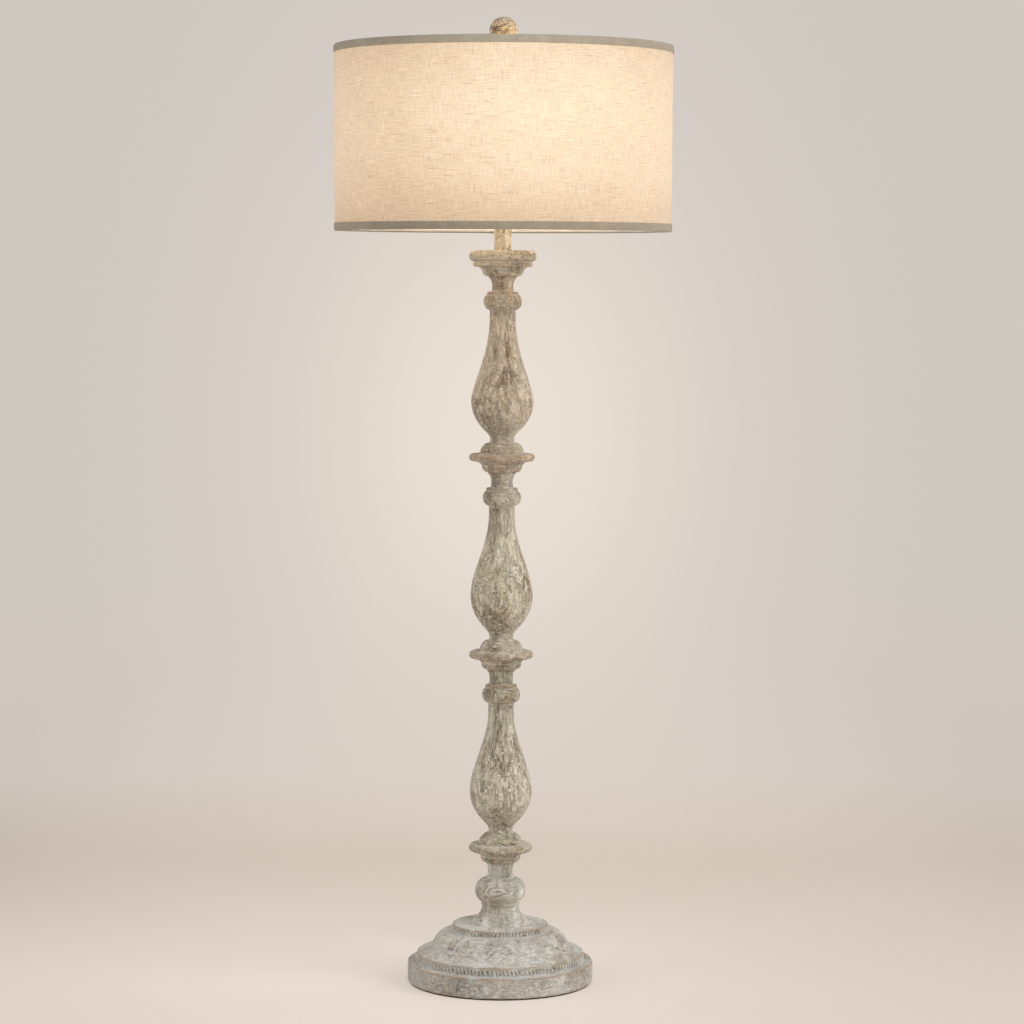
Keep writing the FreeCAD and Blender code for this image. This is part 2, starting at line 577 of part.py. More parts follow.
def top_cup_outline():
    outline = Outline(CUP_FOOT_RADIUS, TOP_CUP_FOOT)
    outline.arc(TOP_CUP_RADIUS, TOP_CUP_ROUND_HEIGHT, CUP_FULLNESS)
    outline.line(TOP_CUP_RADIUS + TOP_CUP_WALL_FLARE, TOP_CUP_WALL_HEIGHT)
    outline.arc(TOP_CUP_BAND_RADIUS - TOP_CUP_GROOVE, TOP_CUP_COVE_HEIGHT, -TOP_CUP_COVE_DEPTH)
    outline.arc(TOP_CUP_BAND_RADIUS - TOP_CUP_GROOVE, TOP_CUP_BAND_HEIGHT, TOP_CUP_GROOVE)
    outline.line(RIM_RADIUS - RIM_LOWER_ROUND, TOP_CUP_GROOVE_HEIGHT)
    outline.corner(RIM_LOWER_ROUND, RIM_LOWER_ROUND)
    outline.arc(RIM_TOP_RADIUS, RIM_HEIGHT - RIM_LOWER_ROUND, RIM_FULLNESS)
    return outline


def bored(outline, foot, top, coupling_below, coupling_above):
    """A turned piece with the pipe's bore, its spigot, and room for the couplings at its ends."""
    body = outline.spin()
    body = body.fuse(rod(SPIGOT_RADIUS, foot - SPIGOT_LENGTH, foot))
    body = body.cut(rod(PIPE_RADIUS + PIPE_CLEARANCE, foot - SPIGOT_LENGTH, top))
    pocket = COUPLING_RADIUS + COUPLING_CLEARANCE
    reach = COUPLING_LENGTH / 2 + COUPLING_CLEARANCE
    if coupling_below:
        body = body.cut(rod(pocket, foot - SPIGOT_LENGTH, foot + reach))
    if coupling_above:
        body = body.cut(rod(pocket, top - reach, top))
        body = body.cut(spigot_socket(top))
    return body.removeSplitter()


def spigot_socket(top):
    """The recess in a top face that takes the next piece's spigot."""
    return rod(SPIGOT_RADIUS + SPIGOT_CLEARANCE, top - SPIGOT_LENGTH - SPIGOT_END_GAP, top)


def pedestal():
    return bored(pedestal_outline(), BASE_TOP, SEAMS[0], coupling_below=False, coupling_above=True)


def spindle(number):
    foot, top = SEAMS[number], SEAMS[number + 1]
    return bored(spindle_outline(number), foot, top, coupling_below=True, coupling_above=True)


def top_cup():
    body = bored(top_cup_outline(), TOP_CUP_FOOT, TOP_CUP_TOP, coupling_below=True, coupling_above=False)
    return body.cut(rod(NECK_RADIUS + NECK_CLEARANCE, TOP_CUP_TOP - NECK_SEAT_DEPTH, TOP_CUP_TOP))


def neck_tube():
    return tube(NECK_RADIUS, NECK_RADIUS - NECK_WALL, TOP_CUP_TOP - NECK_SEAT_DEPTH, NECK_TOP)


def neck_washer():
    return washer(NECK_TOP)


def pipes():
    """The lamp pipe: one length for each turned piece, with a gap inside every coupling."""
    names = ["pipe_base", "pipe_lower", "pipe_middle", "pipe_upper", "pipe_top"]
    bottom = BALLAST_BOTTOM - WASHER_THICKNESS - NUT_HEIGHT - PIPE_BOTTOM_STICKOUT
    bore = PIPE_RADIUS - PIPE_WALL
    half_gap = PIPE_END_GAP / 2
    ends = [bottom - half_gap] + SEAMS + [CAP_FOOT + CAP_HUB_HEIGHT + half_gap]
    return {name: tube(PIPE_RADIUS, bore, low + half_gap, high - half_gap)
            for name, low, high in zip(names, ends, ends[1:])}


def pipe_couplings():
    half = COUPLING_LENGTH / 2
    bore = PIPE_RADIUS + THREAD_CLEARANCE
    return Part.makeCompound([tube(COUPLING_RADIUS, bore, seam - half, seam + half) for seam in SEAMS])


# ---------------------------------------------------------------- lamp holder
def harp_saddle():
    """A strap bent up at both ends, with a round peg on each tab for a harp leg."""
    top = SADDLE_FOOT + SADDLE_TAB_HEIGHT
    half = SADDLE_THICKNESS / 2
    reach = HARP_LEG_SPREAD - half
    outer = Part.makeBox(2 * (reach + SADDLE_THICKNESS), SADDLE_WIDTH, 2 * SADDLE_TAB_HEIGHT,
                         FreeCAD.Vector(-reach - SADDLE_THICKNESS, -SADDLE_WIDTH / 2, SADDLE_FOOT))
    inner = Part.makeBox(2 * reach, SADDLE_WIDTH, 2 * SADDLE_TAB_HEIGHT,
                         FreeCAD.Vector(-reach, -SADDLE_WIDTH / 2, SADDLE_FOOT + SADDLE_THICKNESS))
    strap = soften_floor(outer, SADDLE_BEND).cut(soften_floor(inner, SADDLE_BEND - SADDLE_THICKNESS))
    strap = strap.common(Part.makeBox(4 * reach, SADDLE_WIDTH, SADDLE_TAB_HEIGHT,
                                      FreeCAD.Vector(-2 * reach, -SADDLE_WIDTH / 2, SADDLE_FOOT)))
    strap = strap.cut(rod(PIPE_RADIUS + PIPE_CLEARANCE, SADDLE_FOOT, CAP_FOOT))

    def peg():
        collar = rod(SADDLE_COLLAR_RADIUS, top, PEG_FOOT)
        return collar.fuse(rod(SADDLE_PEG_RADIUS, PEG_FOOT, HARP_FOOT))

    left, right = side_by_side(HARP_LEG_SPREAD, peg)
    return strap.fuse([left, right]).removeSplitter()


def soften_floor(box, radius):
    """Rounds the two lower edges of a box that run along Y."""
    edges = [edge for edge in box.Edges
             if abs(edge.BoundBox.ZMax - box.BoundBox.ZMin) < 1e-6 and edge.BoundBox.YLength > 1]
    return box.makeFillet(radius, edges)


def cap_outline(inset):
    """The cup that closes the holder's underside; the inset draws its inner face."""
    wall = SHELL_RADIUS + CAP_WALL + SHELL_CLEARANCE
    outline = Outline(CAP_HUB_RADIUS - inset, CAP_FOOT + inset)
    outline.line(CAP_HUB_RADIUS - inset, CAP_HUB_HEIGHT / 2)
    outline.arc(wall - inset, CAP_ROUND_HEIGHT, CAP_FULLNESS)
    outline.line(wall - inset, CAP_FOOT + CAP_HEIGHT - outline.end.z)
    return outline


def socket_cap():
    cap = cap_outline(0).spin().cut(cap_outline(CAP_WALL).spin())
    hub_top = CAP_FOOT + CAP_HUB_HEIGHT
    cap = cap.fuse(rod(CAP_HUB_RADIUS, CAP_FOOT, hub_top))
    return cap.cut(rod(PIPE_RADIUS + THREAD_CLEARANCE, CAP_FOOT, hub_top)).removeSplitter()


def socket_shell():
    """Thin brass shell with a rolled rib near its mouth and a hole for the key."""
    outline = Outline(SHELL_RADIUS - SHELL_WALL, SHELL_FOOT)
    outline.line(SHELL_RADIUS)
    outline.line(SHELL_RADIUS, SHELL_RIB_FOOT)
    outline.arc(SHELL_RADIUS, SHELL_RIB_HEIGHT, SHELL_RIB_DEPTH)
    outline.line(SHELL_RADIUS, SHELL_HEIGHT - SHELL_RIB_FOOT - SHELL_RIB_HEIGHT)
    outline.line(SHELL_RADIUS - SHELL_WALL)
    return outline.spin(hollow=True).cut(key_hole())


def socket_insulator():
    sleeve = tube(SLEEVE_RADIUS, SLEEVE_RADIUS - SLEEVE_WALL, SHELL_FOOT, SHELL_FOOT + SHELL_HEIGHT)
    return sleeve.cut(key_hole())


def key_hole():
    return side_rod(KEY_SHAFT_RADIUS + KEY_HOLE_CLEARANCE, 0, -2 * SHELL_RADIUS, KEY_HEIGHT)


def socket_interior():
    """Moulded body with the key's bearing and a pocket for each terminal screw."""
    body = rod(INTERIOR_RADIUS, INTERIOR_FOOT, INTERIOR_TOP)
    body = body.cut(side_rod(KEY_SHAFT_RADIUS + KEY_SHAFT_FIT, KEY_SHAFT_DEPTH - INTERIOR_RADIUS,
                             -2 * INTERIOR_RADIUS, KEY_HEIGHT))
    return body.cut(list(terminal_pair(TERMINAL_POCKET_GAP)))


def terminal_pair(gap):
    """Two slotless screws that face left and right; the gap widens them into their pockets."""

    def screw():
        head_face = INTERIOR_RADIUS if gap else INTERIOR_RADIUS - TERMINAL_POCKET_GAP
        head_back = INTERIOR_RADIUS - TERMINAL_POCKET_GAP - TERMINAL_HEAD_HEIGHT
        head = side_rod(TERMINAL_HEAD_RADIUS + gap, head_back, head_face, KEY_HEIGHT)
        shank = side_rod(TERMINAL_SHANK_RADIUS, head_back - TERMINAL_SHANK_LENGTH, head_back, KEY_HEIGHT)
        return head.fuse(shank)

    return turned(screw(), 90), turned(screw(), -90)


def screw_shell():
    inner = BULB_CAP_RADIUS + SCREW_CLEARANCE
    top = INTERIOR_TOP + SCREW_SHELL_HEIGHT
    wall = tube(inner + SCREW_SHELL_WALL, inner, INTERIOR_TOP, top)
    floor = tube(inner, SCREW_SHELL_MOUTH, INTERIOR_TOP, INTERIOR_TOP + SCREW_SHELL_FLOOR)
    return wall.fuse(floor).removeSplitter()


def centre_contact():
    return rod(CENTRE_CONTACT_RADIUS, INTERIOR_TOP, BULB_CONTACT_FOOT - BULB_SEAT_GAP)


def switch_key():
    """A fluted knob on its shaft; it turns about an axis that points to the front."""
    back = -(SHELL_RADIUS + KEY_STANDOFF)
    front = back - KEY_KNOB_LENGTH
    knob = side_rod(KEY_KNOB_RADIUS, back, front, KEY_HEIGHT)
    knob = knob.makeFillet(KEY_EDGE_ROUND, knob.Edges)
    for flute in range(KEY_FLUTES):
        angle = 2 * math.pi * flute / KEY_FLUTES
        groove = side_rod(KEY_FLUTE_RADIUS, back, front + KEY_NOSE, KEY_HEIGHT)
        reach = KEY_KNOB_RADIUS + KEY_FLUTE_RADIUS - KEY_FLUTE_DEPTH
        groove.translate(FreeCAD.Vector(reach * math.cos(angle), 0, reach * math.sin(angle)))
        knob = knob.cut(groove)
    shaft_end = KEY_SHAFT_DEPTH - INTERIOR_RADIUS - KEY_SHAFT_FIT
    return knob.fuse(side_rod(KEY_SHAFT_RADIUS, shaft_end, back, KEY_HEIGHT))


# ---------------------------------------------------------------- bulb
def bulb_contact():
    return rod(BULB_CONTACT_RADIUS, BULB_CONTACT_FOOT, BULB_CONTACT_FOOT + BULB_CONTACT_HEIGHT)


def bulb_insulator():
    outline = Outline(BULB_TIP_RADIUS, BULB_CONTACT_FOOT + BULB_CONTACT_HEIGHT)
    outline.line(BULB_CAP_RADIUS - BULB_CAP_WALL, BULB_TIP_HEIGHT)
    return outline.spin()


def bulb_cap():
    cap = rod(BULB_CAP_RADIUS, BULB_CAP_FOOT, GLASS_FOOT)
    return cap.cut(rod(BULB_CAP_RADIUS - BULB_CAP_WALL, BULB_CAP_FOOT + BULB_CAP_WALL, GLASS_FOOT))


def globe(inset):
    """The pear-shaped glass, drawn inwards from its outer face by the inset."""
    neck = BULB_CAP_RADIUS - BULB_CAP_WALL - GLASS_FIT - inset
    outline = Outline(neck, GLASS_FOOT - GLASS_DIP)
    outline.line(neck, GLASS_DIP)
    outline.ease(GLOBE_RADIUS - inset, GLOBE_HEIGHT - GLOBE_RADIUS, GLOBE_NECK_HOLD, GLOBE_SHOULDER_HOLD)
    outline.corner(inset - GLOBE_RADIUS, GLOBE_RADIUS - inset)
    return outline.spin()


def bulb_glass():
    return globe(0).cut(globe(GLASS_WALL))


def bulb_stem():
    return rod(STEM_RADIUS, BULB_CAP_FOOT + BULB_CAP_WALL, GLASS_FOOT + STEM_HEIGHT)


def bulb_filament():
    """Four bent filaments that stand round the stem, each fixed to it at both ends."""
    high = GLASS_FOOT + STEM_HEIGHT - FILAMENT_TOP_MARGIN
    low = high - FILAMENT_LENGTH
    root = STEM_RADIUS - FILAMENT_RADIUS
    route = rounded_path([at(root, low), at(FILAMENT_SPREAD, low + FILAMENT_SLOPE),
                          at(FILAMENT_SPREAD, high - FILAMENT_SLOPE), at(root, high)], 2 * FILAMENT_RADIUS)
    filament = wire_rod(route, FILAMENT_RADIUS).cut(bulb_stem())
    return Part.makeCompound([turned(filament, (count + 0.5) * 360 / FILAMENTS)
                              for count in range(FILAMENTS)])


# ---------------------------------------------------------------- harp
def harp():
    """One bent wire: two legs, a belly wide enough for the bulb, and a crest with an eye."""
    flare = HARP_FOOT + HARP_LEG_HEIGHT
    belly = flare + HARP_FLARE_HEIGHT
    right = [at(HARP_LEG_SPREAD, HARP_FOOT), at(HARP_LEG_SPREAD, flare), at(HARP_BELLY_SPREAD, belly),
             at(HARP_BELLY_SPREAD, belly + HARP_BELLY_HEIGHT), at(HARP_CREST_SPREAD, HARP_CREST)]
    left = [at(-corner.x, corner.z) for corner in reversed(right)]
    loop = wire_rod(rounded_path(right + left, HARP_BEND), HARP_WIRE_RADIUS)
    low = HARP_CREST - HARP_EYE_HEIGHT / 2
    high = HARP_CREST + HARP_EYE_HEIGHT / 2
    loop = loop.fuse(rod(HARP_EYE_RADIUS, low, high))
    return loop.cut(rod(POST_SHANK_RADIUS + POST_SHANK_FIT, low, high))


def ferrule():
    """A sleeve that locks a harp leg to its peg; it lifts up the leg."""
    bore = SADDLE_PEG_RADIUS + FERRULE_FIT
    top = PEG_FOOT + FERRULE_LENGTH
    outline = Outline(bore, PEG_FOOT)
    outline.line(bore + FERRULE_WALL + FERRULE_LIP)
    outline.line(bore + FERRULE_WALL + FERRULE_LIP, FERRULE_LIP_HEIGHT)
    outline.line(bore + FERRULE_WALL, FERRULE_LIP)
    outline.line(bore + FERRULE_WALL, FERRULE_LENGTH - FERRULE_LIP_HEIGHT - 2 * FERRULE_LIP)
    outline.line(bore, top - outline.end.z)
    return outline.spin(hollow=True)


def harp_post():
    """Swivelling post: riveted head, shank in the harp's eye, table for the shade, and stud."""
    eye_foot = HARP_CREST - HARP_EYE_HEIGHT / 2
    outline = Outline(POST_HEAD_RADIUS, eye_foot - POST_END_PLAY - POST_HEAD_HEIGHT)
    outline.line(POST_HEAD_RADIUS, POST_HEAD_HEIGHT)
    outline.line(POST_SHANK_RADIUS)
    outline.line(POST_SHANK_RADIUS, HARP_EYE_HEIGHT + 2 * POST_END_PLAY)
    outline.line(POST_TABLE_RADIUS)
    outline.line(POST_TABLE_RADIUS, POST_TABLE_HEIGHT)
    outline.line(POST_STUD_RADIUS)
    outline.line(POST_STUD_RADIUS, POST_STUD_HEIGHT)
    return outline.spin()


# ---------------------------------------------------------------- shade
def shade_radius(height):
    """Outer radius of the very slightly flared drum at a height."""
    return SHADE_RADIUS + SHADE_FLARE * (height - SHADE_BOTTOM) / SHADE_HEIGHT


def drum(inset, thickness):
    """One layer of the drum, this far inside its outer face."""
    outline = Outline(shade_radius(SHADE_BOTTOM) - inset, SHADE_BOTTOM)
    outline.line(shade_radius(SHADE_TOP) - inset, SHADE_HEIGHT)
    outline.line(shade_radius(SHADE_TOP) - inset - thickness)
    outline.line(shade_radius(SHADE_BOTTOM) - inset - thickness, -SHADE_HEIGHT)
    return outline.spin(hollow=True)


def ring_radius(height):
    return shade_radius(height) - FABRIC_THICKNESS - LINER_THICKNESS - RING_WIRE_RADIUS


def trim(edge, into_shade):
    """Tape folded over an edge of the drum: an outer leg, and a fold that covers the wire ring."""
    outline = Outline(ring_radius(edge), edge)
    outline.line(shade_radius(edge))
    outline.line(shade_radius(edge + into_shade * TRIM_HEIGHT), into_shade * TRIM_HEIGHT)
    outline.line(outline.end.x + TRIM_THICKNESS)
    outline.line(shade_radius(edge) + TRIM_THICKNESS, -into_shade * TRIM_HEIGHT)
    fold = -into_shade * TRIM_THICKNESS
    outline.arc(shade_radius(edge), fold, fold * QUARTER_ROUND_FULLNESS)
    outline.line(ring_radius(edge))
    return outline.spin(hollow=True)


def wire_ring(height):
    return ring(ring_radius(height), RING_WIRE_RADIUS, height)


def spider_hub():
    hole = POST_STUD_RADIUS + LIFT_OFF_CLEARANCE
    return tube(SPIDER_HUB_RADIUS, hole, HUB_FOOT, FINIAL_INSERT_FOOT)


def spider_arms():
    """Three wires that run out level from the hub and ramp up to the top ring."""
    reach = ring_radius(RING_MIDDLE)
    route = rounded_path([at(SPIDER_HUB_RADIUS / 2, HUB_MIDDLE), at(reach - SPIDER_RAMP, HUB_MIDDLE),
                          at(reach, RING_MIDDLE)], SPIDER_BEND)
    hub = rod(SPIDER_HUB_RADIUS, HUB_FOOT, FINIAL_INSERT_FOOT)
    arm = wire_rod(route, SPIDER_WIRE_RADIUS).cut([hub, wire_ring(RING_MIDDLE)])
    arm = max(arm.Solids, key=lambda solid: solid.Volume)
    return Part.makeCompound([turned(arm, SPIDER_FIRST_ARM_ANGLE + 360 * count / SPIDER_ARMS)
                              for count in range(SPIDER_ARMS)])


# ---------------------------------------------------------------- finial
def finial_insert():
    """Brass foot of the finial: a collar on the spider's hub and a neck with a blind hole."""
    foot = FINIAL_INSERT_FOOT
    body = rod(FINIAL_INSERT_RADIUS, foot, foot + FINIAL_INSERT_LENGTH)
    body = body.fuse(rod(FINIAL_COLLAR_RADIUS, foot, foot + FINIAL_COLLAR_HEIGHT))
    hole_top = HUB_FOOT + POST_STUD_HEIGHT + LIFT_OFF_CLEARANCE
    return body.cut(rod(POST_STUD_RADIUS + LIFT_OFF_CLEARANCE, foot, hole_top)).removeSplitter()


def finial_ball():
    ball = Part.makeSphere(FINIAL_RADIUS, at(0, BALL_MIDDLE))
    bore = FINIAL_INSERT_RADIUS + FINIAL_INSERT_FIT
    return ball.cut(rod(bore, FINIAL_INSERT_FOOT, FINIAL_INSERT_FOOT + FINIAL_INSERT_LENGTH))


# ---------------------------------------------------------------- the whole lamp
def all_parts():
    ferrule_left, ferrule_right = side_by_side(HARP_LEG_SPREAD, ferrule)
    parts = {
        "floor_pad": floor_pad(), "base_body": base_body(), "ballast_weight": ballast_weight(),
        "cord_bushing": cord_bushing(), "bottom_washer": bottom_washer(),
        "bottom_nut": hexagon_nut(BALLAST_BOTTOM - WASHER_THICKNESS - NUT_HEIGHT),
        "pedestal": pedestal(), "top_cup": top_cup(),
        "pipe_couplings": pipe_couplings(),
        "neck_tube": neck_tube(), "neck_washer": neck_washer(), "neck_nut": hexagon_nut(NECK_NUT_FOOT),
        "harp_saddle": harp_saddle(), "socket_cap": socket_cap(), "socket_shell": socket_shell(),
        "socket_insulator": socket_insulator(), "socket_interior": socket_interior(),
        "screw_shell": screw_shell(), "centre_contact": centre_contact(),
        "terminal_screws": Part.makeCompound(list(terminal_pair(0))), "switch_key": switch_key(),
        "bulb_contact": bulb_contact(), "bulb_insulator": bulb_insulator(), "bulb_cap": bulb_cap(),
        "bulb_glass": bulb_glass(), "bulb_stem": bulb_stem(), "bulb_filament": bulb_filament(),
        "harp": harp(), "ferrule_left": ferrule_left, "ferrule_right": ferrule_right,
        "harp_post": harp_post(), "shade_fabric": drum(0, FABRIC_THICKNESS),
        "shade_liner": drum(FABRIC_THICKNESS, LINER_THICKNESS),
        "shade_top_trim": trim(SHADE_TOP, -1), "shade_bottom_trim": trim(SHADE_BOTTOM, 1),
        "shade_top_ring": wire_ring(RING_MIDDLE),
        "shade_bottom_ring": wire_ring(SHADE_BOTTOM + RING_WIRE_RADIUS),
        "spider_hub": spider_hub(), "spider_arms": spider_arms(),
        "finial_insert": finial_insert(), "finial_ball": finial_ball(),
    }
    parts.update({name: spindle(number) for number, name in enumerate(SPINDLE_NAMES)})
    parts.update(pipes())
    return parts


os.makedirs("parts", exist_ok=True)
for name, shape in all_parts().items():
    shape.exportStep(f"parts/{name}.step")
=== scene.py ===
"""Candlestick floor lamp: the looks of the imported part, in metres, +Z up, the front facing -Y."""
import math

import bpy
import numpy as np
from mathutils import Matrix


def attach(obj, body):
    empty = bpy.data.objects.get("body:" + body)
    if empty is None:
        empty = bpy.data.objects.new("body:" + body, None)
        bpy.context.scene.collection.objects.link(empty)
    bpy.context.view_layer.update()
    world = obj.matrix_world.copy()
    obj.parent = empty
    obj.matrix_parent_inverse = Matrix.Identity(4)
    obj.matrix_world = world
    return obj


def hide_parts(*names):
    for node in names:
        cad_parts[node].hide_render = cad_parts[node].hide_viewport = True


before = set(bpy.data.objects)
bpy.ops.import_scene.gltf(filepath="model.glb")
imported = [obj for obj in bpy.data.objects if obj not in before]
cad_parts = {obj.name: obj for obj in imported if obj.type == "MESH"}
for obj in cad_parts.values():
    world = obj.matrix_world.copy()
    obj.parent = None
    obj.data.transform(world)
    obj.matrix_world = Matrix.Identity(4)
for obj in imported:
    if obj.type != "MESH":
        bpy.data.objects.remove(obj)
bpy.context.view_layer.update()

MM = 0.001
TURN = 2 * math.pi
SAME_SPOT = 1e-7    # points closer than this are one
ON_AXIS = 1e-6      # a radius below this lies on the lamp's axis
SAME_LEVEL = 1e-5   # heights closer than this are one


# ---------------------------------------------------------------- colours and materials
def painted(red, green, blue):
    """A colour read off a screen, from 0 to 255 a channel, as the light that it stands for."""
    channels = np.array([red, green, blue]) / 255
    light = np.where(channels <= 0.04045, channels / 12.92, ((channels + 0.055) / 1.055) ** 2.4)
    return (*light.tolist(), 1.0)


class Quantity:
    """One output in a material's node tree. Arithmetic on it adds Math nodes."""

    def __init__(self, finish, output):
        self.finish = finish
        self.output = output

    def math(self, operation, first, second=0.0, clamped=False):
        settings = {"operation": operation, "use_clamp": clamped}
        return self.finish.node("Math", settings, {0: first, 1: second})

    def __add__(self, other):
        return self.math("ADD", self, other)

    def __sub__(self, other):
        return self.math("SUBTRACT", self, other)

    def __rsub__(self, other):
        return self.math("SUBTRACT", other, self)

    def __mul__(self, other):
        return self.math("MULTIPLY", self, other)

    __radd__ = __add__
    __rmul__ = __mul__

    def clamped(self):
        return self.math("ADD", self, 0.0, clamped=True)

    def above(self, threshold, softness):
        """0 below the threshold and 1 above it, with a straight slope of that width."""
        return ((self - threshold) * (1 / softness) + 0.5).clamped()


class Finish:
    """One material, with a Principled shader whose plain values are given by socket name."""

    def __init__(self, name, **values):
        self.material = bpy.data.materials.new(name)
        self.material.use_nodes = True
        self.tree = self.material.node_tree
        self.tree.nodes.clear()
        self.surface = self.tree.nodes.new("ShaderNodeBsdfPrincipled")
        self.end = self.tree.nodes.new("ShaderNodeOutputMaterial")
        self.tree.links.new(self.surface.outputs[0], self.end.inputs["Surface"])
        self.set(**values)

    def set(self, **values):
        """Gives sockets of the Principled shader a value or a link; Base_Color means Base Color."""
        for socket, value in values.items():
            self.plug(self.surface.inputs[socket.replace("_", " ")], value)

    def plug(self, socket, value):
        if isinstance(value, Quantity):
            self.tree.links.new(value.output, socket)
        else:
            socket.default_value = value

    def node(self, kind, settings=None, sockets=None, output=0):
        """Any node: its settings first, then the values or links of its sockets."""
        made = self.tree.nodes.new("ShaderNode" + kind)
        for name, value in (settings or {}).items():
            if name == "stops":
                for number, (position, colour) in enumerate(value):
                    stop = (made.color_ramp.elements[number] if number < 2
                            else made.color_ramp.elements.new(position))
                    stop.position = position
                    stop.color = colour
            else:
                setattr(made, name, value)
        for name, value in (sockets or {}).items():
            self.plug(made.inputs[name], value)
        return Quantity(self, made.outputs[output])

    def place(self, scale=(1, 1, 1)):
        """Where a point lies on the object, stretched by the scale."""
        here = self.node("TexCoord", output="Object")
        return self.node("Mapping", {}, {"Vector": here, "Scale": scale})

    def cloth_place(self, scale):
        """Where a point lies on the flat cloth, in metres, stretched by the scale."""
        here = self.node("UVMap", {"uv_map": "cloth"})
        return self.node("Mapping", {}, {"Vector": here, "Scale": scale})

    def grain_place(self, scale, sway, sway_size):
        """Where a point lies on a turned piece, with its third axis running along the outside.
        The place sways by soft noise of that size, so that strokes bend."""
        here = self.node("Attribute", {"attribute_name": "flow"}, output="Vector")
        wave = {"Vector": self.place(), "Scale": 1 / sway_size, "Detail": 2.0}
        drift = self.node("TexNoise", {}, wave, "Color")
        drift = self.node("VectorMath", {"operation": "SUBTRACT"}, {0: drift, 1: (0.5, 0.5, 0.5)})
        drift = self.node("VectorMath", {"operation": "SCALE"}, {0: drift, "Scale": sway})
        here = self.node("VectorMath", {"operation": "ADD"}, {0: here, 1: drift})
        return self.node("Mapping", {}, {"Vector": here, "Scale": scale})

    def noise(self, place, size, detail=2.0, roughness=0.5, warp=0.0):
        """Soft random values whose blobs have about that size in metres."""
        return self.node("TexNoise", {}, {"Vector": place, "Scale": 1 / size, "Detail": detail,
                                          "Roughness": roughness, "Distortion": warp})

    def line(self, values, level, sharpness):
        """1 where the values pass that level, falling to 0 on both sides of it."""
        away = self.node("Math", {"operation": "ABSOLUTE"}, {0: values - level})
        return (1 - away * sharpness).clamped()

    def mix(self, factor, first, second, blend="MIX"):
        return self.node("Mix", {"data_type": "RGBA", "blend_type": blend},
                         {0: factor, 6: first, 7: second}, output=2)

    def ramp(self, factor, stops):
        return self.node("ValToRGB", {"stops": stops}, {"Fac": factor})

    def attribute(self, name):
        """The three channels of a piece's own colour attribute."""
        colour = self.node("Attribute", {"attribute_name": name}, output="Color")
        return [self.node("SeparateColor", {}, {"Color": colour}, output=channel)
                for channel in ("Red", "Green", "Blue")]

    def bump(self, height, depth):
        self.set(Normal=self.node("Bump", {}, {"Height": height, "Distance": depth}))


# ---------------------------------------------------------------- meshes
def wear(piece, finish):
    """Gives a piece its finish all over, and smooth shading."""
    piece.data.materials.clear()
    piece.data.materials.append(finish.material)
    piece.data.polygons.foreach_set("use_smooth", np.full(len(piece.data.polygons), True))


def surface(name, points, closed_around=True, closed_along=False, cloth=None, tone=None, flow=None):
    """A mesh from a grid of points, rows by columns by three. Rows run along and columns run round.
    A row whose points all meet is closed by a fan on one shared point. cloth, tone and flow are the
    points' places on the flat cloth, their dark, wash and rub, and their places in the grain."""
    rows, columns = points.shape[:2]
    index = np.arange(rows * columns).reshape(rows, columns)
    for row in range(rows):
        if np.ptp(points[row], axis=0).max() < SAME_SPOT:
            index[row] = index[row, 0]
    across = index if not closed_around else np.concatenate([index, index[:, :1]], axis=1)
    if closed_along:
        across = np.concatenate([across, across[:1]], axis=0)
    quads = np.stack([across[:-1, :-1], across[:-1, 1:], across[1:, 1:], across[1:, :-1]], axis=-1)
    quads = quads.reshape(-1, 4)
    fan_foot = quads[quads[:, 0] == quads[:, 1]][:, [0, 2, 3]]
    fan_top = quads[quads[:, 2] == quads[:, 3]][:, [0, 1, 2]]
    quads = quads[(quads[:, 0] != quads[:, 1]) & (quads[:, 2] != quads[:, 3])]
    groups = [quads, fan_foot, fan_top]
    used, packed = np.unique(np.concatenate([group.ravel() for group in groups]), return_inverse=True)
    split = np.split(packed, np.cumsum([group.size for group in groups])[:-1])
    faces = [face for group, part in zip(groups, split) for face in part.reshape(group.shape).tolist()]
    mesh = bpy.data.meshes.new(name)
    mesh.from_pydata(points.reshape(-1, 3)[used].tolist(), [], faces)
    if cloth is not None:
        layer = mesh.uv_layers.new(name="cloth")
        corner = np.empty(len(mesh.loops), dtype=np.int32)
        mesh.loops.foreach_get("vertex_index", corner)
        layer.data.foreach_set("uv", cloth.reshape(-1, 2)[used][corner].astype(np.float32).ravel())
    if tone is not None:
        layer = mesh.color_attributes.new("tone", "FLOAT_COLOR", "POINT")
        colours = np.ones((len(used), 4), dtype=np.float32)
        colours[:, :3] = tone.reshape(-1, 3)[used]
        layer.data.foreach_set("color", colours.ravel())
    if flow is not None:
        layer = mesh.attributes.new("flow", "FLOAT_VECTOR", "POINT")
        layer.data.foreach_set("vector", flow.reshape(-1, 3)[used].astype(np.float32).ravel())
    mesh.validate()
    piece = bpy.data.objects.new(name, mesh)
    bpy.context.scene.collection.objects.link(piece)
    return piece


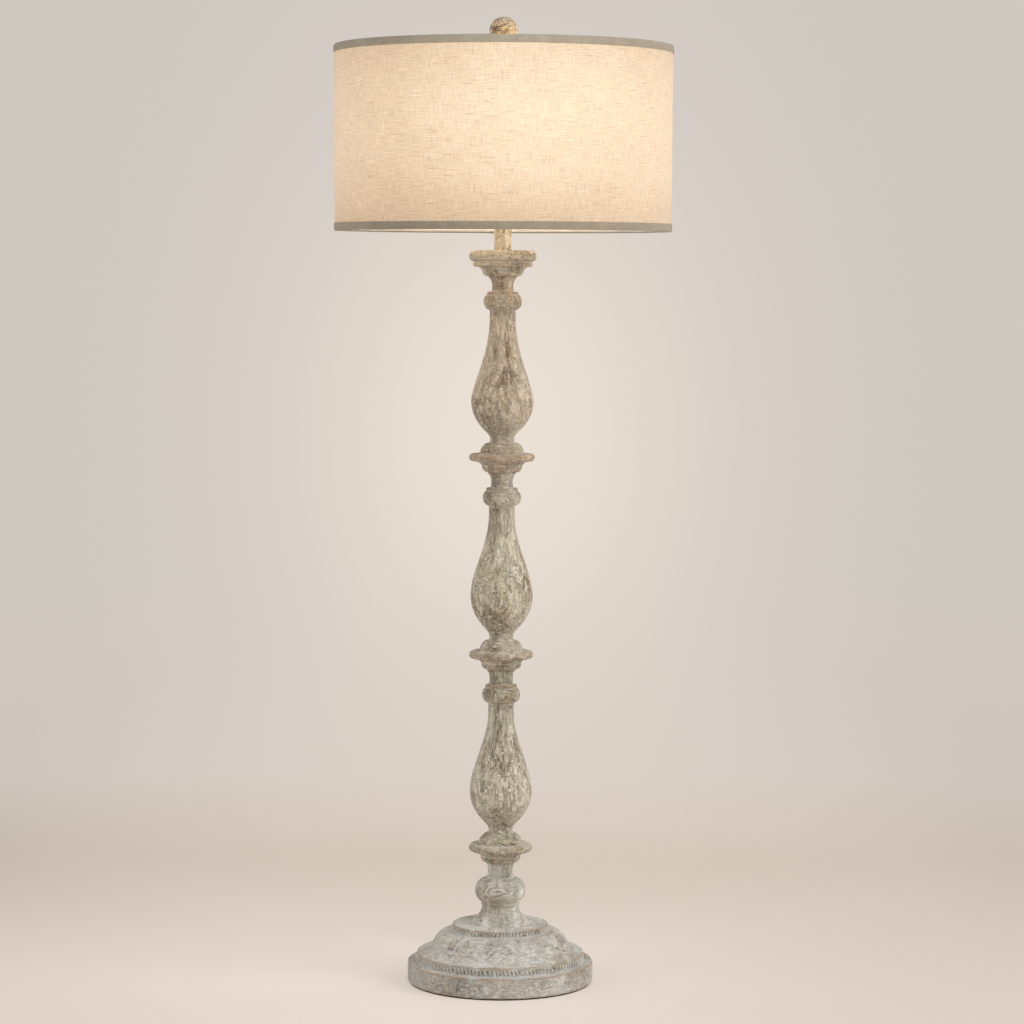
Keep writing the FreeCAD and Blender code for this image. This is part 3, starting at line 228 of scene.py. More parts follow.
# ---------------------------------------------------------------- the turned pieces' own section
def cad_section(node):
    """The half section of a turned CAD node, as an ordered list of (radius, height), and whether it
    closes on itself. The node's turned faces have their seam at +X, and a flat ring between two of
    them has none, so it is added as a straight line."""
    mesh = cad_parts[node].data
    places = np.empty(len(mesh.vertices) * 3, dtype=np.float32)
    mesh.vertices.foreach_get("co", places)
    places = places.reshape(-1, 3).astype(float)
    ends = np.empty(len(mesh.edges) * 2, dtype=np.int32)
    mesh.edges.foreach_get("vertices", ends)
    ends = ends.reshape(-1, 2)
    seam = (np.abs(places[:, 1]) < ON_AXIS) & (places[:, 0] > -SAME_SPOT)
    ends = ends[seam[ends].all(axis=1)]
    spots, which = np.unique(np.round(places[ends.ravel()][:, [0, 2]], 6), axis=0, return_inverse=True)
    pairs = np.unique(np.sort(which.reshape(-1, 2), axis=1), axis=0)
    beside = {spot: set() for spot in range(len(spots))}
    for first, second in pairs[pairs[:, 0] != pairs[:, 1]]:
        beside[first].add(second)
        beside[second].add(first)
    loose = [spot for spot in beside if len(beside[spot]) == 1 and spots[spot, 0] > ON_AXIS]
    loose.sort(key=lambda spot: (round(spots[spot, 1], 5), spots[spot, 0]))
    while len(loose) > 1:
        first, second = loose[:2]
        if abs(spots[first, 1] - spots[second, 1]) < SAME_LEVEL:
            beside[first].add(second)
            beside[second].add(first)
            loose = loose[2:]
        else:
            loose = loose[1:]
    start = next((spot for spot in beside if len(beside[spot]) == 1), 0)
    path = [start]
    while True:
        onward = [spot for spot in beside[path[-1]] if spot not in path]
        if not onward:
            break
        path.append(onward[0])
    return spots[path], len(beside[start]) == 2


def outer_and_inner(node, core, over_top):
    """Splits a node's section at its foot and its top: the outside from the foot up, then the rest.
    The foot is the lowest place outside the core radius. The outside ends at the rim of the top, or
    where over_top is set, at the bore, so that it takes in the top's flat ring."""
    loop, is_ring = cad_section(node)
    outside = loop[:, 0] > core
    lowest = loop[outside, 1].min()
    highest = loop[:, 1].max()
    at_foot = np.flatnonzero(outside & (loop[:, 1] < lowest + SAME_LEVEL))
    at_top = np.flatnonzero(loop[:, 1] > highest - SAME_LEVEL)
    foot = at_foot[loop[at_foot, 0].argmax()]
    top = at_top[loop[at_top, 0].argmin() if over_top else loop[at_top, 0].argmax()]
    if is_ring:
        loop = np.roll(loop, -foot, axis=0)
        top = (top - foot) % len(loop)
        if loop[1:top, 0].mean() < loop[top + 1:, 0].mean():
            loop = np.roll(loop[::-1], 1, axis=0)
            top = (len(loop) - top) % len(loop)
        return loop[:top + 1], loop[top:]
    if foot > top:
        loop = loop[::-1]
        foot, top = len(loop) - 1 - foot, len(loop) - 1 - top
    return loop[foot:top + 1], loop[:foot + 1]


def travelled(path):
    """How far each point of a path lies along it."""
    return np.concatenate([[0], np.cumsum(np.hypot(*np.diff(path, axis=0).T))])


def summed(travel, pace):
    """The running sum of a pace along a path."""
    return np.concatenate([[0], np.cumsum(np.diff(travel) * (pace[1:] + pace[:-1]) / 2)])


SHARP_TURN = 0.36   # in radians; a path that turns by more than this at a point has a corner there


def rounded(path, step, softness):
    """The path walked in steps: cubic curves through its points between the sharp corners, then the
    corners eased by a running average of that softness."""
    legs = np.diff(path, axis=0)
    heading = np.unwrap(np.arctan2(legs[:, 1], legs[:, 0]))
    corners = [0, *(np.flatnonzero(np.abs(np.diff(heading)) > SHARP_TURN) + 1), len(path) - 1]
    walked = []
    for first, last in zip(corners, corners[1:]):
        points = path[first:last + 1]
        travel = travelled(points)
        count = max(2, int(travel[-1] / step) + 1)
        at = np.linspace(0, travel[-1], count)
        if len(points) > 2:
            lean = np.gradient(points, travel, axis=0, edge_order=2)
            cell = np.clip(np.searchsorted(travel, at, side="right") - 1, 0, len(points) - 2)
            width = travel[cell + 1] - travel[cell]
            share = (at - travel[cell]) / width
            square, cube = share ** 2, share ** 3
            stretch = ((2 * cube - 3 * square + 1)[:, None] * points[cell]
                       + ((cube - 2 * square + share) * width)[:, None] * lean[cell]
                       + (3 * square - 2 * cube)[:, None] * points[cell + 1]
                       + ((cube - square) * width)[:, None] * lean[cell + 1])
        else:
            stretch = points[0] + (at / travel[-1])[:, None] * (points[-1] - points[0])
        walked.append(stretch[1:] if walked else stretch)
    walked = np.concatenate(walked)
    return averaged(walked, softness / step)


def averaged(values, width):
    """A running average with a bell-shaped weight, whose width is a number of rows; the two ends
    stay where they are."""
    reach = max(1, int(3 * width))
    bell = np.exp(-0.5 * (np.arange(-reach, reach + 1) / width) ** 2)
    bell /= bell.sum()
    table = values.reshape(len(values), -1)
    before = 2 * table[0] - table[reach:0:-1]
    after = 2 * table[-1] - table[-2:-reach - 2:-1]
    padded = np.concatenate([before, table, after])
    smooth = np.stack([np.convolve(column, bell, mode="valid") for column in padded.T], axis=1)
    return smooth.reshape(values.shape)


class Turning:
    """A turned piece as a grid: rows run up its outside and columns run round it."""

    def __init__(self, node, rows, columns, core=12.5 * MM, girth=34 * MM, long_strokes=1.0,
                 over_top=False):
        """girth is the radius at which strokes keep their width, so that they draw together where the
        piece is narrow. long_strokes is 1 where tall stretches have strokes along them, 0 where all
        marks run round."""
        self.node = node
        self.columns = columns
        outside, self.inside = outer_and_inner(node, core, over_top)
        fine = rounded(outside, 0.10 * MM, 0.30 * MM)
        travel = travelled(fine)
        ahead = averaged(np.gradient(fine, travel, axis=0), 3.0)
        heading = np.unwrap(np.arctan2(ahead[:, 1], ahead[:, 0]))
        bend = np.gradient(averaged(heading, 8.0), travel)

        # Rows lie up to 3.6 times as close where the outline bends. bend is in radians a metre.
        packed = summed(travel, 1 + np.minimum(np.abs(bend) / 250, 2.6))
        at = np.interp(np.linspace(0, packed[-1], rows), packed, travel)
        outline = (fine[:, 0], fine[:, 1], np.cos(heading), np.sin(heading), bend)
        outline = (np.interp(at, travel, line)[:, None] for line in outline)
        self.radius, self.height, lean_out, climb, bend = outline
        self.out, self.up = climb, -lean_out
        self.length = travel[-1]
        self.travel = at[:, None]
        self.along = self.travel / self.length
        self.around = (np.arange(columns) / columns)[None, :] + np.zeros((rows, 1))
        self.angle = self.around * TURN
        self.edge = np.clip(bend / 500, 0, 1) + np.zeros_like(self.angle)
        self.hollow = np.clip(-bend / 400, 0, 1) + np.zeros_like(self.angle)
        self.relief, self.dark, self.wash, self.rub = (np.zeros_like(self.angle) for _ in range(4))

        # The place in the grain: on upright stretches strokes are some four times as long as wide,
        # and elsewhere they are about twice as long round the piece as they are high.
        upright = slope(averaged(np.abs(np.sin(heading)), 90.0), 0.74, 0.95) * long_strokes
        run = summed(travel, 1.0 - 0.76 * upright)
        spread = fine[:, 0] * (0.45 + 0.15 * (1 - long_strokes)) * (1 - upright) + girth * upright
        self.flow_travel = np.interp(at, travel, run)[:, None]
        self.flow_girth = np.interp(at, travel, spread)[:, None]

    def noise(self, cell_round, cell_along, seed, sway=0.0):
        """Random values from 0 to 1 in cells of those sizes in metres, measured at the mean girth."""
        girth = TURN * float(np.mean(self.radius))
        cells = max(3, round(girth / cell_round))
        rows = max(2, round(self.length / cell_along))
        return lattice_noise(self.around + sway, self.along, cells, rows, seed)

    def finished(self, finish, body="lamp_stand"):
        """Moves the outside by its relief, which fades out at its two ends, adds the unseen inner
        faces, and puts the piece in place. The inner rows come after the outside and close it into a
        ring, or where the outside ends on the axis, before it."""
        ends = np.clip(np.minimum(self.travel, self.length - self.travel) / (0.6 * MM), 0, 1)
        lift = self.relief * ends
        radius = self.radius + self.out * lift
        height = self.height + self.up * lift
        ends_on_axis = radius[-1].max() < ON_AXIS
        if ends_on_axis:
            inner = np.concatenate([[[0.0, self.inside[0, 1]]], self.inside[:-1]])
            pad = ((len(inner), 0), (0, 0))
        else:
            inner = self.inside[1:]
            pad = ((0, len(inner)), (0, 0))
        inner = (np.repeat(column[:, None], self.columns, axis=1) for column in inner.T)
        pairs = zip((radius, height), inner)
        radius, height = (np.concatenate(pair[::-1] if ends_on_axis else pair) for pair in pairs)
        angle = np.repeat(self.angle[:1], len(radius), axis=0)
        points = np.stack([radius * np.cos(angle), radius * np.sin(angle), height], axis=-1)
        tone = np.stack([np.pad(np.clip(mask, 0, 1), pad) for mask in (self.dark, self.wash, self.rub)],
                        axis=-1)
        girth, travel = (np.pad(row + np.zeros_like(self.angle), pad, mode="edge")
                         for row in (self.flow_girth, self.flow_travel))
        flow = np.stack([girth * np.cos(angle), girth * np.sin(angle), travel], axis=-1)
        piece = surface(self.node + "_carved", points, closed_along=not ends_on_axis,
                        tone=tone, flow=flow)
        wear(piece, finish)
        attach(piece, body)
        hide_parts(self.node)
        return piece


def lattice_noise(around, along, cells, rows, seed):
    """Random values on a lattice, joined by smooth curves; around closes on itself at 1."""
    lattice = np.random.default_rng(seed).random((rows + 2, cells))
    x = (around % 1.0) * cells
    y = np.clip(along, 0, 1) * rows
    column = np.floor(x).astype(int)
    row = np.floor(y).astype(int)
    x = x - column
    y = y - row
    x = x * x * (3 - 2 * x)
    y = y * y * (3 - 2 * y)
    column = column % cells
    after = (column + 1) % cells
    low = lattice[row, column] * (1 - x) + lattice[row, after] * x
    high = lattice[row + 1, column] * (1 - x) + lattice[row + 1, after] * x
    return low * (1 - y) + high * y


def slope(values, low, high):
    """0 below low, 1 above high, and a smooth rise between them."""
    share = np.clip((values - low) / (high - low), 0, 1)
    return share * share * (3 - 2 * share)


# ---------------------------------------------------------------- carving and paint on the wood
def grain(turning, seed, swirl=1.0):
    """Broad flames of dark up the piece, swaying as they go, with a few deeper cuts and pits.
    Each is noise stretched along the piece, its place round the piece moved by slower noise."""
    sway = 0.040 * swirl * (turning.noise(60 * MM, 50 * MM, seed) - 0.5)
    sway = sway + 0.020 * swirl * (turning.noise(20 * MM, 16 * MM, seed + 1) - 0.5)
    flame = 0.5 * turning.noise(12 * MM, 46 * MM, seed + 2, sway)
    flame = flame + 0.3 * turning.noise(5.5 * MM, 21 * MM, seed + 3, sway * 1.4)
    flame = flame + 0.2 * turning.noise(2.8 * MM, 10 * MM, seed + 4, sway * 1.8)
    deep = slope(flame, 0.60, 0.74)
    pit = slope(turning.noise(3.0 * MM, 4.6 * MM, seed + 8, sway), 0.90, 0.98)
    turning.dark += 0.50 * slope(flame, 0.44, 0.66) + 0.8 * pit
    turning.wash += 0.50 * slope(1 - flame, 0.52, 0.72)
    turning.relief += MM * (0.35 * (0.5 - flame) - 0.30 * deep - 0.45 * pit)


def limewash_and_hollow_shade(turning, seed, amount):
    """Pale paint left in broad worn patches and in the hollows, rubbed through to brown on edges, and
    painted shade that darkens the hollows in patches.
    """
    sway = 0.05 * (turning.noise(50 * MM, 40 * MM, seed) - 0.5)
    patch = (0.65 * turning.noise(42 * MM, 70 * MM, seed + 1, sway)
             + 0.35 * turning.noise(13 * MM, 22 * MM, seed + 2, sway))
    broken = turning.noise(4.5 * MM, 6 * MM, seed + 3)
    turning.wash += amount * slope(patch, 0.36, 0.70) * (0.55 + 0.45 * broken)
    turning.wash += turning.hollow * (0.55 + 0.5 * broken)
    along_edge = turning.noise(16 * MM, 500 * MM, seed + 4)
    turning.rub += 1.1 * turning.edge * slope(along_edge, 0.05, 0.40) * (0.70 + 0.30 * broken)
    turning.relief -= MM * 0.16 * turning.edge * slope(broken, 0.4, 0.9)
    # Painted shade: the hollows are darkened in patches along them
    turning.dark += 0.95 * turning.hollow * slope(turning.noise(9 * MM, 400 * MM, seed + 5), 0.35, 0.65)


def hand_turned(turning, seed):
    """The piece runs out of true by a fraction of a millimetre, and the gouge left faint rings."""
    wobble = turning.noise(90 * MM, 60 * MM, seed) - 0.5
    rings = turning.noise(2000 * MM, 2.6 * MM, seed + 1) - 0.5
    turning.relief += MM * (0.35 * wobble + 0.10 * rings)


def beaded_band(turning, within, count, seed, depth, slant):
    """A row of small uneven beads: waves round the piece whose pace and height wander, cut off at
    the band's rims. The beads are painted pale as a highlight and the cuts dark as painted shade. slant
    is how many beads a cut would pass in a metre of height."""
    round_only = turning.along * 0
    wander = 0.55 * (lattice_noise(turning.around, round_only, count // 3, 2, seed) - 0.5)
    phase = turning.around * count + wander + slant * turning.travel
    beads = 0.5 + 0.5 * np.cos(TURN * phase)
    strength = 0.60 + 0.40 * lattice_noise(turning.around, round_only, count // 4, 2, seed + 1)
    chip = lattice_noise(turning.around, round_only, count, 2, seed + 2)
    beads = within * strength * beads * (0.35 + 0.65 * slope(chip, 0.1, 0.5))
    turning.relief += depth * (beads - 0.45 * within)
    # Pale on the beads as a painted highlight, dark in the cuts as painted shade
    turning.wash = turning.wash * (1 - within) + within * slope(beads, 0.25, 0.60)
    turning.dark = turning.dark * (1 - within) + 0.8 * within * strength * slope(1 - beads, 0.40, 0.80)


def knot(turning, at_angle, at_height, width, tall, seed, turns):
    """An eye in the grain: rings of dark and pale round a centre, wider than tall, worn off outwards."""
    away = (turning.angle - at_angle + math.pi) % TURN - math.pi
    x = away * float(np.mean(turning.radius)) / width
    y = (turning.height - at_height) / tall
    y = y + 0.30 * np.sin(1.9 * x + 0.4) * (1 - np.exp(-x * x))
    far = np.hypot(x, y) + 0.42 * (turning.noise(9 * MM, 7 * MM, seed) - 0.5)
    rings = 0.5 + 0.5 * np.cos(TURN * turns * far * (1 + 0.12 * np.sin(2 * np.arctan2(y, x) + seed)))
    inside = slope(1.15 - far, 0.0, 0.45) * slope(turning.noise(11 * MM, 8 * MM, seed + 50), 0.15, 0.45)
    turning.dark = turning.dark * (1 - 0.7 * inside) + inside * 0.75 * slope(rings, 0.6, 0.95)
    turning.wash = turning.wash * (1 - 0.6 * inside) + inside * 0.55 * slope(1 - rings, 0.55, 0.95)
    turning.relief += MM * 0.35 * inside * (0.5 - rings)


def scroll_marks(turning, within, seed, count):
    """Curled strokes like loose leaves. Each is an arc on the surface, narrow at its ends; a raised
    line lies along it with a cut below, the line painted pale as a highlight and the cut dark as a
    shadow."""
    draw = np.random.default_rng(seed)
    girth = TURN * DOME_RADIUS
    low = float(turning.travel[within[:, 0] > 0.5].min())
    high = float(turning.travel[within[:, 0] > 0.5].max())
    x_all = turning.around * girth
    y_all = turning.travel + np.zeros_like(x_all)
    for number in range(count):
        centre_x = (number + draw.uniform(-0.35, 0.35)) / count * girth
        centre_y = draw.uniform(low + 0.22 * (high - low), high - 0.25 * (high - low))
        size = draw.uniform(12, 26) * MM
        facing = draw.uniform(-0.5, 0.5) + (math.pi if number % 2 else 0)
        bow = draw.uniform(0.9, 2.3) * (1 if number % 3 else -1)
        x = (x_all - centre_x + girth / 2) % girth - girth / 2
        y = y_all - centre_y
        u = (x * math.cos(facing) + y * math.sin(facing)) / size
        v = (-x * math.sin(facing) + y * math.cos(facing)) / size
        v = v - 0.5 * bow * u * u + 0.22 * np.sin(5.0 * u + number)
        taper = np.clip(1 - u * u, 0, 1)
        line = np.exp(-(v / 0.085) ** 2) * taper * within
        cut = np.exp(-((v + 0.20) / 0.095) ** 2) * taper * within
        turning.relief += MM * (0.80 * line - 0.70 * cut)
        # Painted highlight on the raised line and painted shadow in the cut
        turning.wash += 0.80 * line
        turning.dark += 0.95 * cut


def cracks(turning, within, seed, count):
    """A few dark branching cracks: steep wavering lines that thin out at both ends."""
    draw = np.random.default_rng(seed)
    for _ in range(count):
        where = draw.random()
        tall = draw.uniform(9, 20) * MM
        middle = draw.uniform(float(turning.height[within[:, 0] > 0.5].min()),
                              float(turning.height[within[:, 0] > 0.5].max()))
        lean = draw.uniform(-0.5, 0.5)
        away = ((turning.around - where + 0.5) % 1 - 0.5) * TURN * turning.radius
        y = turning.height - middle
        away = away - lean * y - 0.9 * MM * np.sin(y / (2.2 * MM) + where * 40)
        taper = np.clip(1 - (2 * y / tall) ** 2, 0, 1)
        line = np.exp(-(away / (0.85 * MM)) ** 2) * taper * within
        turning.relief -= MM * 0.8 * line
        turning.dark += 1.1 * line


def washed_wood(name, body, shadow, pale, rubbed, warm, strokes=1.0, curls=1.0):
    """Carved wood under a worn wash. The piece's tone attribute says how dark, how washed and how
    rubbed each place is. The shader adds what is finer than the mesh: long dark and pale strokes,
    curled gouge marks with a painted highlight on one side and a painted shadow on the other, warm
    patches where the wash is thin, pores and dust."""
    colours = (body, shadow, pale, rubbed, warm)
    body, shadow, pale, rubbed, warm = (painted(*colour) for colour in colours)
    finish = Finish(name, Metallic=0.0, Specular_IOR_Level=0.35, Sheen_Weight=0.45, Sheen_Roughness=0.35)
    dark, wash, rub = finish.attribute("tone")
    here = finish.place()
    flowing = finish.grain_place((1.0, 1.0, 1.0), 0.0024, 0.006)
    curling = finish.grain_place((1.0, 1.0, 1.5), 0.0090, 0.011)
    stroke = finish.noise(flowing, 0.0036, 4.0, 0.60)
    fibre = finish.noise(flowing, 0.0013, 3.0, 0.60)
    curl = finish.noise(curling, 0.0085, 1.5, 0.50, 1.5)
    dust = finish.noise(here, 0.0022, 4.0, 0.65)
    cloud = finish.noise(finish.grain_place((1.0, 1.0, 1.6), 0.012, 0.04), 0.030, 4.0, 0.60)
    warmth = finish.noise(finish.place((1.0, 1.0, 1.5)), 0.055, 4.0, 0.62, 0.6)
    patch = finish.noise(finish.place((1.0, 1.0, 0.6)), 0.014, 3.0, 0.60, 0.8)

    curled = patch.above(0.40, 0.20) * curls
    # cut is a painted shadow along one side of each curled gouge, and ridge_line a painted highlight
    # along the other; the bump below also gives them relief
    cut = finish.line(curl, 0.460, 12.0) * curled
    ridge_line = finish.line(curl, 0.545, 12.0) * curled
    dark_stroke = stroke.above(0.570, 0.12) * strokes
    pale_stroke = (1 - stroke).above(0.580, 0.12) * strokes

    colour = finish.mix(warmth.above(0.52, 0.16) * 0.75, body, warm)
    colour = finish.mix(cloud.above(0.52, 0.26) * 0.50, colour, pale)
    # The shadow colour darkens real marks (grain, strokes, fibres, pits, knots, cracks) and painted
    # shade (hollows, bead cuts, curled gouges)
    darkened = dark * 0.78 + dark_stroke * 0.58 + cut * 0.95 + (fibre - 0.5) * 0.9
    colour = finish.mix(darkened.clamped() * 0.90, colour, shadow)
    whitened = wash * (0.45 + 0.7 * dust) + pale_stroke * 0.45 + ridge_line * 0.88
    colour = finish.mix(whitened.clamped() * 0.90, colour, pale)
    colour = finish.mix((rub * (0.75 + 0.6 * dust)).clamped() * 0.85, colour, rubbed)
    pores = finish.ramp(dust, [(0.27, (0.55, 0.54, 0.52, 1)), (0.41, (1.0, 1.0, 1.0, 1))])
    colour = finish.mix(0.75, colour, pores, "MULTIPLY")
    finish.set(Base_Color=colour, Roughness=0.70 + (dust - 0.5) * 0.25 - rub * 0.10)
    height = ridge_line * 0.9 + stroke * 0.7 * strokes + fibre * 0.4 + dust * 0.4 - cut * 0.9
    finish.bump(height, 1.0 * MM)
    return finish


wood = {
    "base": washed_wood("base_wood", (165, 160, 149), (92, 85, 71), (216, 215, 209), (164, 136, 102),
                        (182, 160, 132), strokes=0.55, curls=0.60),
    "pedestal": washed_wood("pedestal_wood", (170, 163, 147), (98, 90, 73), (220, 219, 211),
                            (166, 138, 104), (186, 168, 138), strokes=0.8, curls=0.45),
    "lower": washed_wood("lower_wood", (154, 142, 112), (93, 80, 54), (222, 214, 196), (162, 130, 92),
                         (158, 136, 102)),
    "middle": washed_wood("middle_wood", (156, 142, 110), (94, 80, 53), (226, 217, 197), (178, 150, 116),
                          (158, 134, 100)),
    "upper": washed_wood("upper_wood", (143, 123, 91), (82, 65, 40), (216, 204, 182), (196, 158, 122),
                         (152, 116, 76)),
    "cup": washed_wood("cup_wood", (143, 127, 97), (80, 64, 41), (226, 213, 190), (176, 138, 96),
                       (156, 124, 86)),
    # The neck's colours are paler and warmer than the other wood's: partly its own finish and partly
    # painted light of the bulb that falls on it from the shade
    "neck": washed_wood("neck_wood", (222, 199, 163), (138, 110, 74), (250, 242, 223), (158, 124, 84),
                        (200, 168, 126)),
    "finial": washed_wood("finial_wood", (140, 102, 64), (74, 52, 30), (222, 196, 154), (150, 112, 70),
                          (132, 92, 54)),
}


def near_radius(turning, radius, reach):
    """1 on rows within that reach of a radius."""
    inside = slope(reach - np.abs(turning.radius - radius), 0.0, 0.4 * reach)
    return inside + np.zeros_like(turning.around)


def between(turning, low, high, blur=1.0 * MM):
    """1 on rows between two heights."""
    over_low = slope(turning.height, low - blur / 2, low + blur / 2)
    over_high = slope(turning.height, high - blur / 2, high + blur / 2)
    return over_low * (1 - over_high) + np.zeros_like(turning.around)


# Base: a plinth with two beaded bands and a dome with loose leaf strokes.
PLINTH_TOP = 32.4 * MM
LOWER_BAND_TOP = 44.4 * MM
UPPER_BAND_FOOT = 79.6 * MM
BASE_TOP = 90.2 * MM
PLINTH_RADIUS = 142.6 * MM
LOWER_BAND_RADIUS = 128.6 * MM
UPPER_BAND_RADIUS = 73.4 * MM
DOME_RADIUS = 105 * MM        # halfway down the dome, where the scrolls are measured
DOME_INNER_RADIUS = 78 * MM
SEAT_RADIUS = 49 * MM         # the pedestal stands inside this, on plain wood
EDGE = 1.5 * MM               # how far from its radius an upright face may lie
base = Turning("base_body", 140, 640, long_strokes=0.0, over_top=True)
hand_turned(base, 10)
grain(base, 11, swirl=2.5)
base.dark *= 0.55
limewash_and_hollow_shade(base, 30, amount=0.75)
lower_band = (between(base, PLINTH_TOP + 3.0 * MM, LOWER_BAND_TOP - 1.6 * MM, 1.6 * MM)
              * near_radius(base, LOWER_BAND_RADIUS, EDGE))
beaded_band(base, lower_band, 128, 41, depth=1.5 * MM, slant=50)
upper_band = (between(base, UPPER_BAND_FOOT + 2.2 * MM, BASE_TOP - 2.4 * MM, 1.4 * MM)
              * near_radius(base, UPPER_BAND_RADIUS, EDGE))
beaded_band(base, upper_band, 84, 42, depth=1.1 * MM, slant=-40)
dome = (between(base, LOWER_BAND_TOP + 3.5 * MM, UPPER_BAND_FOOT - 2 * MM, 3 * MM)
        * slope(base.radius - DOME_INNER_RADIUS, 0, 3 * MM))
scroll_marks(base, dome, 43, count=22)
side = near_radius(base, PLINTH_RADIUS, EDGE)
cracks(base, between(base, 4 * MM, 29 * MM) * side, 44, count=7)
# Painted shade: the plinth's upright side is less washed and darker than the ledge above it
base.wash *= 1 - 0.35 * side
base.dark += 0.14 * side
base.relief *= slope(base.radius, SEAT_RADIUS, SEAT_RADIUS + 4 * MM)
base_piece = base.finished(wood["base"])


def bore(piece, radius, near, far, height):
    """Cuts a round hole along Y through one side of a piece, as an exact difference with a closed
    cylinder: rings of (radius cos a, y, height - radius sin a), closed by fans at both ends."""
    reach = np.array([near, near, far, far])[:, None]
    size = np.array([0.0, radius, radius, 0.0])[:, None]
    angle = np.linspace(0, TURN, 65)[None, :-1]
    rings = np.broadcast_arrays(size * np.cos(angle), reach, height - size * np.sin(angle))
    cutter = surface("cutter", np.stack(rings, axis=-1))
    wear(cutter, wood["base"])
    change = piece.modifiers.new("bore", "BOOLEAN")
    change.operation = "DIFFERENCE"
    change.solver = "EXACT"
    change.object = cutter
    seen = piece.evaluated_get(bpy.context.evaluated_depsgraph_get())
    bored = bpy.data.meshes.new_from_object(seen)
    piece.modifiers.clear()
    piece.data = bored
    bpy.data.objects.remove(cutter)


# The bushing's hole from the hollow outwards, and the flat that its flange sits on.
HOLE_RADIUS = 5.45 * MM
FLAT_RADIUS = 7.85 * MM
FLANGE_RADIUS = 7.75 * MM
HOLE_HEIGHT = 12.5 * MM
IN_THE_HOLLOW = 71 * MM
CLEAR_OF_THE_BASE = 285 * MM
FLANGE_SEAT = math.sqrt(PLINTH_RADIUS ** 2 - FLANGE_RADIUS ** 2) - 1.6 * MM
bore(base_piece, HOLE_RADIUS, IN_THE_HOLLOW, CLEAR_OF_THE_BASE, HOLE_HEIGHT)
bore(base_piece, FLAT_RADIUS, FLANGE_SEAT, CLEAR_OF_THE_BASE, HOLE_HEIGHT)

pedestal = Turning("pedestal", 210, 400, long_strokes=0.6)
hand_turned(pedestal, 50)
grain(pedestal, 51, swirl=1.5)
limewash_and_hollow_shade(pedestal, 60, amount=0.6)
knot(pedestal, -math.pi / 2 - 0.10, 145 * MM, 24 * MM, 11 * MM, 65, turns=2.1)
knot(pedestal, 0.9, 143 * MM, 22 * MM, 10 * MM, 66, turns=2.0)
knot(pedestal, 2.9, 149 * MM, 21 * MM, 10 * MM, 67, turns=2.2)
pedestal.finished(wood["pedestal"])


def spindle(level, seed, notched):
    """One of the three spindles: grain, wash, and the rim of its flange, which has notches below or is
    rubbed above, where the rubbed colour is partly wear and partly painted warm light of the bulb.
    Heights are measured from the spindle's foot."""
    above_flange, notch_top, rub_foot = 40 * MM, 24.5 * MM, 25 * MM
    turning = Turning("spindle_" + level, 262, 352)
    hand_turned(turning, seed)
    grain(turning, seed + 1)
    limewash_and_hollow_shade(turning, seed + 20, amount=0.60)
    foot = float(turning.height[0, 0])
    flange_radius = turning.radius[turning.height < foot + above_flange].max()
    rim = slope(turning.radius - (flange_radius - 3.2 * MM), 0, 1.2 * MM)
    rim = rim * slope(foot + above_flange - turning.height, 0, 5 * MM) + np.zeros_like(turning.around)
    if notched:
        lower_half = slope(foot + notch_top - turning.height, 0, 2 * MM)
        beaded_band(turning, rim * lower_half, 66, seed + 30, depth=0.7 * MM, slant=90)
    else:
        # The top spindle's flange gets the rubbed colour on its upper half: partly wear, partly painted
        # warm light of the bulb above
        turning.rub += 0.6 * rim * slope(turning.height - foot - rub_foot, 0, 2 * MM)
    turning.finished(wood[level])


spindle("lower", 100, notched=True)
spindle("middle", 200, notched=True)
spindle("upper", 300, notched=False)

cup = Turning("top_cup", 190, 400, long_strokes=0.3, over_top=True)
hand_turned(cup, 400)
grain(cup, 401, swirl=2.0)
limewash_and_hollow_shade(cup, 420, amount=0.7)
knot(cup, -math.pi / 2, 1103 * MM, 3.4 * MM, 2.6 * MM, 440, turns=0.9)
cup.rub *= 0.45
cup.relief *= slope(cup.radius, 15 * MM, 19 * MM)
cup.finished(wood["cup"])

neck = Turning("neck_tube", 90, 180, girth=13 * MM, over_top=True)
hand_turned(neck, 500)
grain(neck, 501)
limewash_and_hollow_shade(neck, 520, amount=0.6)
neck.finished(wood["neck"])

ball = Turning("finial_ball", 150, 240, core=2 * MM, girth=18 * MM, long_strokes=0.4)
hand_turned(ball, 600)
grain(ball, 601, swirl=2.5)
limewash_and_hollow_shade(ball, 620, amount=0.6)
cracks(ball, np.ones_like(ball.relief), 640, count=6)
ball.finished(wood["finial"], body="finial")


